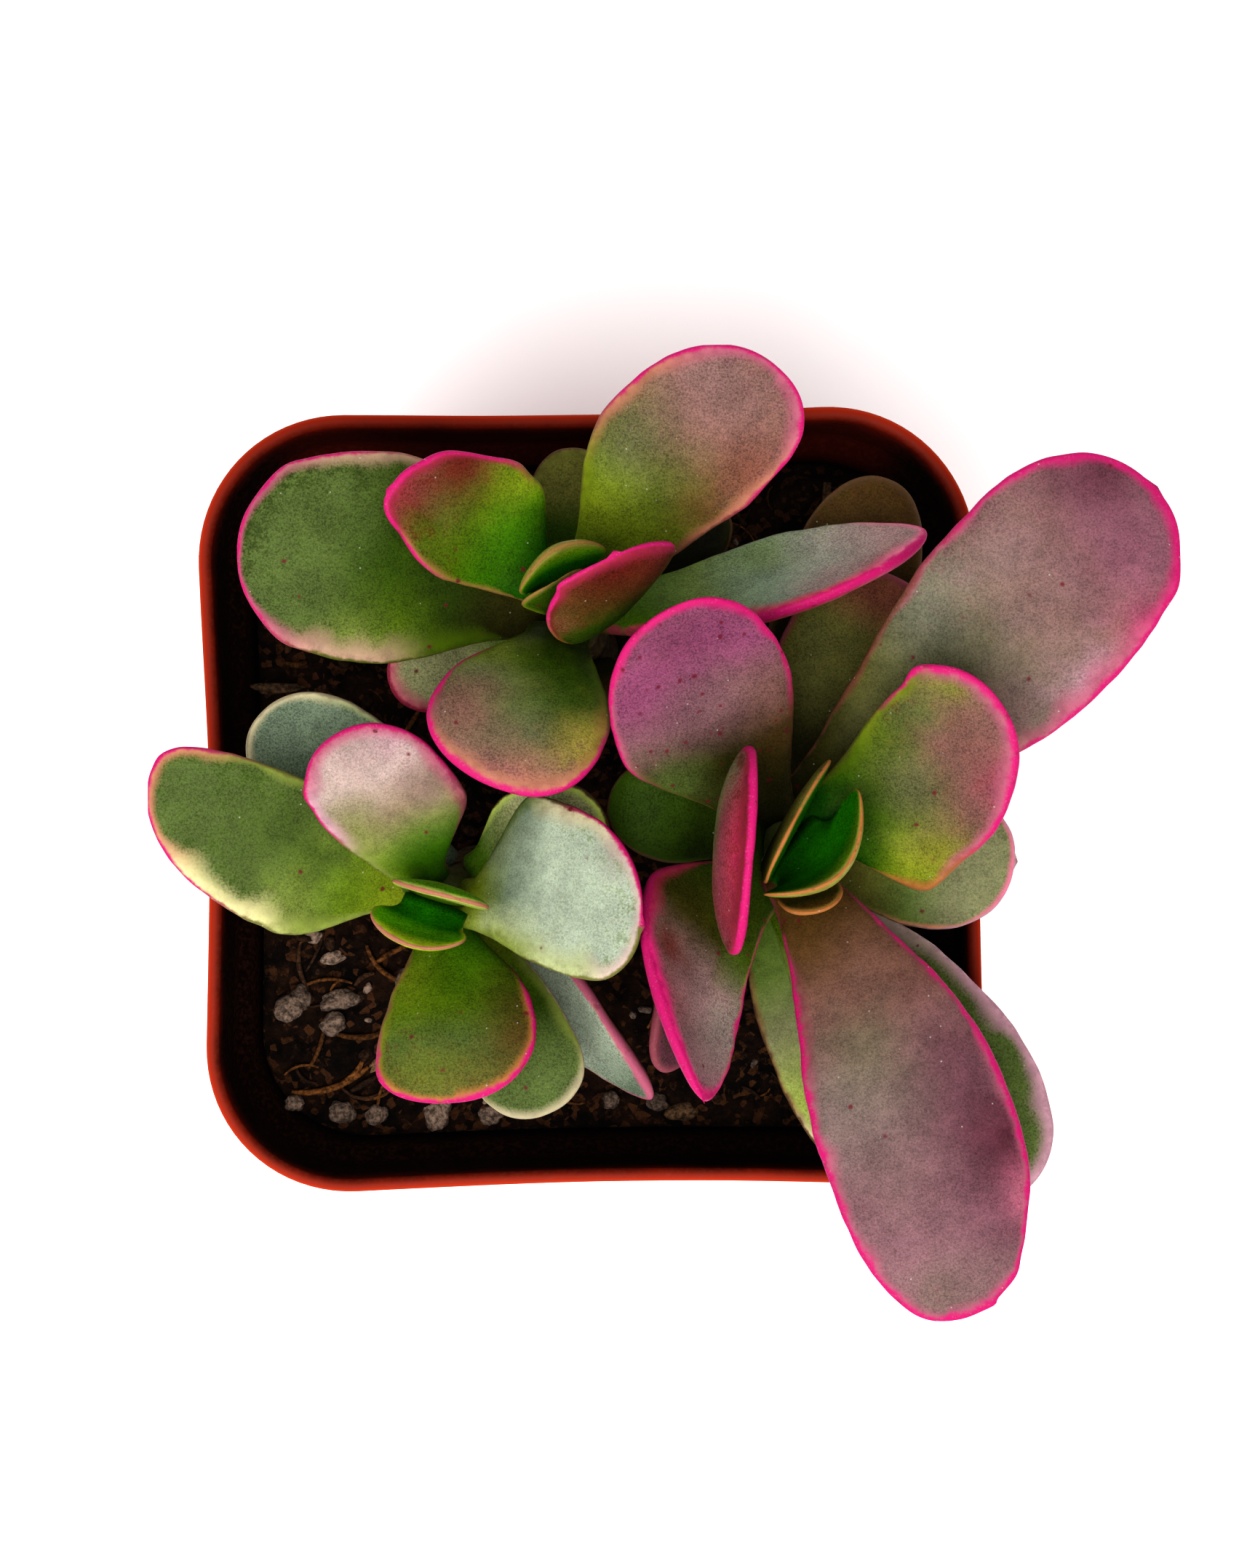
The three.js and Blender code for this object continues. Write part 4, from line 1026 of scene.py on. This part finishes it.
def build_stones(height, material):
    """Pumice: the lumps in the clear corner of the soil, and smaller ones strewn over all of it."""
    rng = np.random.default_rng(STONE_SEED)
    points, faces = ball(STONE_FINENESS)
    stones = [(*stone, "pumice") for stone in PUMICE] + [(*chip, "bark tan") for chip in CHIPS]
    for _ in range(STREWN_STONES):
        x, y = rng.uniform(-SOIL_REACH, SOIL_REACH, 2)
        length = rng.uniform(0.5, 1.5)
        width = length * rng.uniform(0.5, 0.9)
        turn = rng.uniform(0, 180)
        stones.append((x, y, length, width, turn, "pumice" if rng.random() < 0.35 else "bark brown"))
    bits = Bits()
    for k, (x, y, length, width, turn, colour) in enumerate(stones):
        lumps = 1 + 0.4 * noise_at(points, 0.9, k + 50) + 0.16 * noise_at(points, 0.35, k + 51)
        tall = min(length, width) * 0.42
        shaped = points * lumps[:, None] * (length / 2, width / 2, tall)
        shaped[:, :2] = rotated(shaped[:, :2], math.radians(turn))
        z = surface_height(height, np.array([x]), np.array([y]))[0] + tall * 0.35
        bits.add(shaped + (x, y, z), faces, linear(colour) * rng.uniform(0.6, 1.25))
    bits.build("fine_stones", material)


def build_fibres(height, material):
    """Curved bark fibres and fine roots that lie on the soil, and one thin stick."""
    rng = np.random.default_rng(FIBRE_SEED)
    strands = list(FIBRES)
    for _ in range(STREWN_FIBRES):
        x, y = rng.uniform(-SOIL_REACH, SOIL_REACH, 2)
        strands.append((
            x, y, rng.uniform(1.2, 5), rng.uniform(0, 360), rng.uniform(-110, 110), rng.uniform(0.08, 0.3),
            "fibre" if rng.random() < 0.5 else "bark brown",
        ))
    bits = Bits()
    faces = ring_faces(FIBRE_STEPS, FIBRE_SIDES)
    angle = np.arange(FIBRE_SIDES) * 2 * math.pi / FIBRE_SIDES
    for x, y, length, turn, bend, radius, colour in strands:
        heading = np.radians(turn + bend * (np.linspace(0, 1, FIBRE_STEPS) - 0.5))
        path = np.cumsum(np.stack([np.cos(heading), np.sin(heading)], 1) * length / FIBRE_STEPS, 0)
        path = np.clip(path - path.mean(0) + (x, y), -SOIL_REACH - 1, SOIL_REACH + 1)
        heights = surface_height(height, path[:, 0], path[:, 1])
        heights = np.convolve(np.pad(heights, 2, "edge"), np.ones(5) / 5, "valid")
        heights = heights + radius * 0.6 + 0.25 * np.sin(np.linspace(0, math.pi, FIBRE_STEPS))
        taper = radius * (0.55 + 0.45 * np.sin(np.linspace(0.3, 2.9, FIBRE_STEPS)))
        across = np.stack([-np.sin(heading), np.cos(heading)], 1)
        flat = path[:, None] + across[:, None] * (np.cos(angle)[None, :, None] * taper[:, None, None])
        rise = heights[:, None] + np.sin(angle) * taper[:, None]
        tube = np.concatenate([flat, rise[..., None]], -1).reshape(-1, 3)
        ends = np.array([[*path[0], heights[0]], [*path[-1], heights[-1]]])
        bits.add(np.vstack([tube, ends]), faces, linear(colour) * rng.uniform(0.5, 1.2))
    bits.build("fine_fibres", material)


# Floor, light and camera
def build_stage():
    shader = Shader("floor_white")
    tone = shader.noise(shader.place(), 3, 2)
    white = shader.mix(tone, (0.91, 0.89, 0.905, 1), (0.93, 0.915, 0.93, 1))
    mesh = bpy.data.meshes.new("floor")
    mesh.from_pydata([(-2, -2, 0), (2, -2, 0), (2, 2, 0), (-2, 2, 0)], [], [(0, 1, 2, 3)])
    mesh.materials.append(shader.finish(Base_Color=white, Roughness=0.7))
    floor = bpy.data.objects.new("floor", mesh)
    bpy.context.scene.collection.objects.link(floor)


def build_light():
    """Pale surroundings and one wide soft lamp, towards the near side."""
    scene = bpy.context.scene
    world = bpy.data.worlds.new("studio")
    scene.world = world
    world.use_nodes = True
    background = world.node_tree.nodes["Background"]
    background.inputs["Color"].default_value = (1.0, 0.99, 0.98, 1)
    background.inputs["Strength"].default_value = 0.55
    data = bpy.data.lights.new("key", "AREA")
    data.shape = "DISK"
    data.size = 0.9
    data.energy = 12.5
    data.color = (1.0, 0.985, 0.96)
    key = bpy.data.objects.new("key", data)
    key.location = (-0.1, -0.32, 0.97)
    key.rotation_mode = "QUATERNION"
    key.rotation_quaternion = (Vector((0, 0, 0.07)) - key.location).to_track_quat("-Z", "Y")
    scene.collection.objects.link(key)
    scene.view_settings.view_transform = "Standard"
    scene.view_settings.look = "High Contrast"


def build_camera():
    """Straight down over the plant, with the top of the picture towards +Y."""
    eye_height = 407
    focal_pixels = 5880
    picture_height = 2156
    sensor = 36
    data = bpy.data.cameras.new("camera")
    data.sensor_fit = "VERTICAL"
    data.sensor_height = sensor
    data.lens = focal_pixels / picture_height * sensor
    data.clip_start = 0.01
    data.clip_end = 20
    camera = bpy.data.objects.new("camera", data)
    camera.location = (3.1 * MM, 1.3 * MM, eye_height * MM)
    bpy.context.scene.collection.objects.link(camera)
    bpy.context.scene.camera = camera


build_camera()
build_light()
build_stage()
build_pot(pot_plastic())
ground = soil_height()
build_soil(ground, soil_crumb())
bits_skin = soil_bits()
build_stones(ground, bits_skin)
build_fibres(ground, bits_skin)
bark = stem_skin()
skin = leaf_skin()
for side_index, (side, stem) in enumerate(STEMS.items()):
    build_stem(side, stem, bark)
    for index, leaf in enumerate(LEAVES[side]):
        build_leaf(f"leaf_{side}_{index + 1:02d}", stem, leaf, 100 * side_index + 10 * index, skin)
